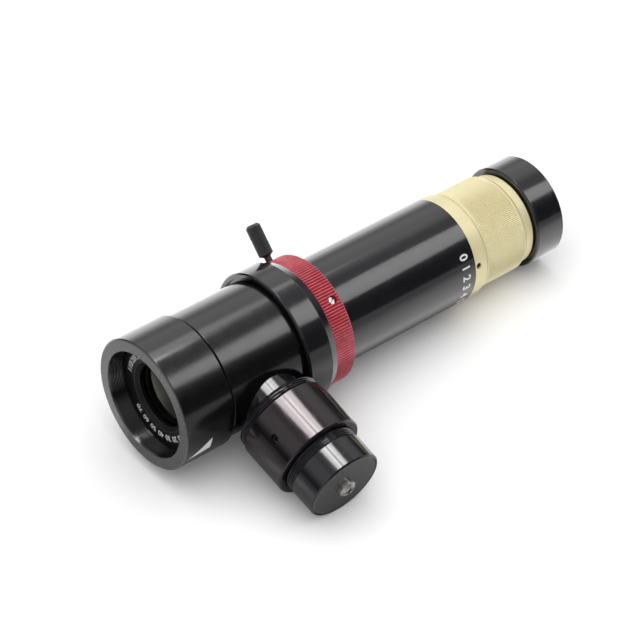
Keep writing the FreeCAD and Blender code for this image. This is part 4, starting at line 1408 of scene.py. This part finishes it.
@dataclass(frozen=True)
class RoomLight:
    """The light all round: what mirror-like surfaces show, and the dome that lights the rest.

    The room's light grows with the first part of its height and falls off overhead; it is dark on
    one side.  A bright wall stands low at the back, with a dimmer glow above it.
    """

    base: float = 0.04
    wall: float = 0.52
    wall_rise: Step = (0.10, 0.50)
    overhead: float = 0.20
    overhead_rise: Step = (0.75, 0.85)
    dark_way: tuple[float, float, float] = (0.56, -0.83, 0.0)
    dark_run: Step = (0.60, 0.95)
    back: float = 1.5
    back_way: tuple[float, float, float] = (0.54, 0.84, 0.0)
    back_run: Step = (0.78, 0.99)
    back_height: Step = (0.0, 0.35)
    glow: float = 0.45
    glow_way: tuple[float, float, float] = (0.507, 0.604, 0.616)
    glow_run: Step = (0.86, 0.98)
    dome: Step = (0.36, 2.05)                    # from the sides, and from overhead
    dome_way: tuple[float, float, float] = (-0.10, -0.06, 0.99)
    dome_run: Step = (0.48, 0.92)

    def room(self, shader: Shader, direction: Signal) -> Signal:
        """What mirror-like surfaces show.

        Args:
            shader: The world's node tree.
            direction: Where is looked.
        Returns:
            The brightness there.
        """
        rise = shader.dot(direction, (0.0, 0.0, 1.0))
        dark = shader.dot(direction, self.dark_way).smooth(*self.dark_run)
        room = rise.smooth(*self.wall_rise) * (1.0 - dark)
        room = self.base + self.wall * room - self.overhead * rise.smooth(*self.overhead_rise)
        back = shader.dot(direction, self.back_way).smooth(*self.back_run)
        room = room + self.back * back * (1.0 - rise.smooth(*self.back_height))
        return room + self.glow * shader.dot(direction, self.glow_way).smooth(*self.glow_run)

    def overall(self, shader: Shader, direction: Signal) -> Signal:
        """The dome's brightness in a direction."""
        low, high = self.dome
        return low + (high - low) * shader.dot(direction, self.dome_way).smooth(*self.dome_run)


@dataclass
class Studio:
    """Camera, floor, lamps and the light all round."""

    barrel: Axis
    azimuth: float = -40.2966
    elevation: float = 43.3011
    roll: float = 0.1998
    distance: float = 0.78867
    aim: tuple[float, float, float] = (60.301, -3.790, 3.268)    # on the barrel's axes
    lens: float = 154.9
    floor_size: float = 6.0
    floor_light: FloorLight = FloorLight()
    room_light: RoomLight = RoomLight()
    lamps: tuple[Softbox, ...] = (
        Softbox("key_left", (-0.20, 0.19, 0.97), 0.150, 0.28, 8.5),
        Softbox("key_middle", (0.04, 0.19, 0.98), 0.175, 0.28, 4.2),
        Softbox("key_right", (0.25, 0.19, 0.95), 0.130, 0.28, 8.5),
        Softbox("side_box", (0.585, -0.385, 0.715), 0.74, 0.56, 2.3, 1.6),
        Softbox("back_box", (0.461, 0.387, 0.799), 0.15, 0.15, 1.25, 0.8))

    def build(self) -> None:
        """Set the whole studio up."""
        centre = Vector(self.barrel.place(np.array(self.aim)).tolist())
        self.camera(centre)
        self.floor()
        self.world()
        for lamp in self.lamps:
            lamp.build(centre)
        bpy.context.scene.view_settings.view_transform = "Standard"

    def camera(self, centre: Vector) -> None:
        """Set up the camera, looking from an azimuth and elevation, slightly rolled.

        Args:
            centre: What it looks at.
        """
        turn, lift = math.radians(self.azimuth), math.radians(self.elevation)
        back = Vector((math.sin(turn) * math.cos(lift), -math.cos(turn) * math.cos(lift), math.sin(lift)))
        camera = bpy.data.cameras.new("camera")
        camera.lens = self.lens
        camera.clip_start = 0.01
        holder = linked("camera", camera)
        facing = (-back).to_track_quat("-Z", "Y").to_matrix().to_4x4()
        holder.matrix_world = (Matrix.Translation(centre + back * self.distance) @ facing
                               @ Matrix.Rotation(math.radians(self.roll), 4, "Z"))
        bpy.context.scene.camera = holder

    def floor(self) -> None:
        """A wide white floor that the lens lies on.

        In the lens's reflections it is dim towards the camera and bright towards the back.
        """
        half, light = self.floor_size / 2.0, self.floor_light
        mesh = bpy.data.meshes.new("floor")
        mesh.from_pydata([(-half, -half, 0.0), (half, -half, 0.0), (half, half, 0.0), (-half, half, 0.0)],
                         [], [(0, 1, 2, 3)])
        floor = linked("floor", mesh)
        material = bpy.data.materials.new("floor_paper")
        shader = Shader(material)
        seen, mirrored = shader.ray("Is Camera Ray"), shader.ray("Is Glossy Ray")
        place = shader.signal("ShaderNodeTexCoord", {}, {}, "Object")
        along = shader.dot(place, (1.0, 0.0, 0.0))
        bright = shader.mix(light.share(shader, place, along), grey(0.0), grey(light.brightness))
        glow = shader.mix(mirrored, shader.mix(seen, grey(0.0), grey(light.seen_glow)), bright)
        paper = shader.noise(place, 900.0, 2.0)
        colour = shader.mix(paper, rgba((0.95, 0.95, 0.953)), rgba((0.93, 0.93, 0.933)))
        # painted shade: in reflections the floor is a dark grey instead of white, darker still towards
        # negative x
        dim = shader.mix(along.smooth(*light.paper_run), *map(grey, light.paper_greys))
        surface = shader.signal("ShaderNodeBsdfPrincipled", {}, {
            "Base Color": shader.mix(mirrored, colour, dim), "Roughness": 0.9,
            "Specular IOR Level": 0.0, "Emission Color": glow, "Emission Strength": 1.0})
        shader.output("ShaderNodeOutputMaterial", surface)
        mesh.materials.append(material)

    def world(self) -> None:
        """White where the camera sees it, the room in mirror-like surfaces, the dome for all else."""
        world = bpy.data.worlds.new("studio")
        bpy.context.scene.world = world
        shader = Shader(world)
        direction = shader.signal("ShaderNodeTexCoord", {}, {}, "Generated")
        room = self.room_light.room(shader, direction)
        dome = self.room_light.overall(shader, direction)
        seen, mirrored = shader.ray("Is Camera Ray"), shader.ray("Is Glossy Ray")
        strength = seen + (1.0 - seen) * (dome + mirrored * (room - dome))
        surface = shader.signal("ShaderNodeBackground", {}, {"Color": grey(1.0), "Strength": strength})
        shader.output("ShaderNodeOutputWorld", surface)


def main() -> None:
    """Build the studio and every sub-assembly."""
    logging.basicConfig(level=logging.INFO, format="%(name)s: %(message)s")
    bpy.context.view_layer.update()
    barrel = barrel_axis()
    port = port_axis(barrel)
    Studio(barrel).build()
    for assembly in (FrontEnd(barrel), Body(barrel), IrisSection(barrel), RearTube(barrel),
                     CameraEnd(barrel), Port(port), Inside(barrel)):
        log.info("building %s", type(assembly).__name__)
        assembly.build()


if __name__ == "__main__":
    main()
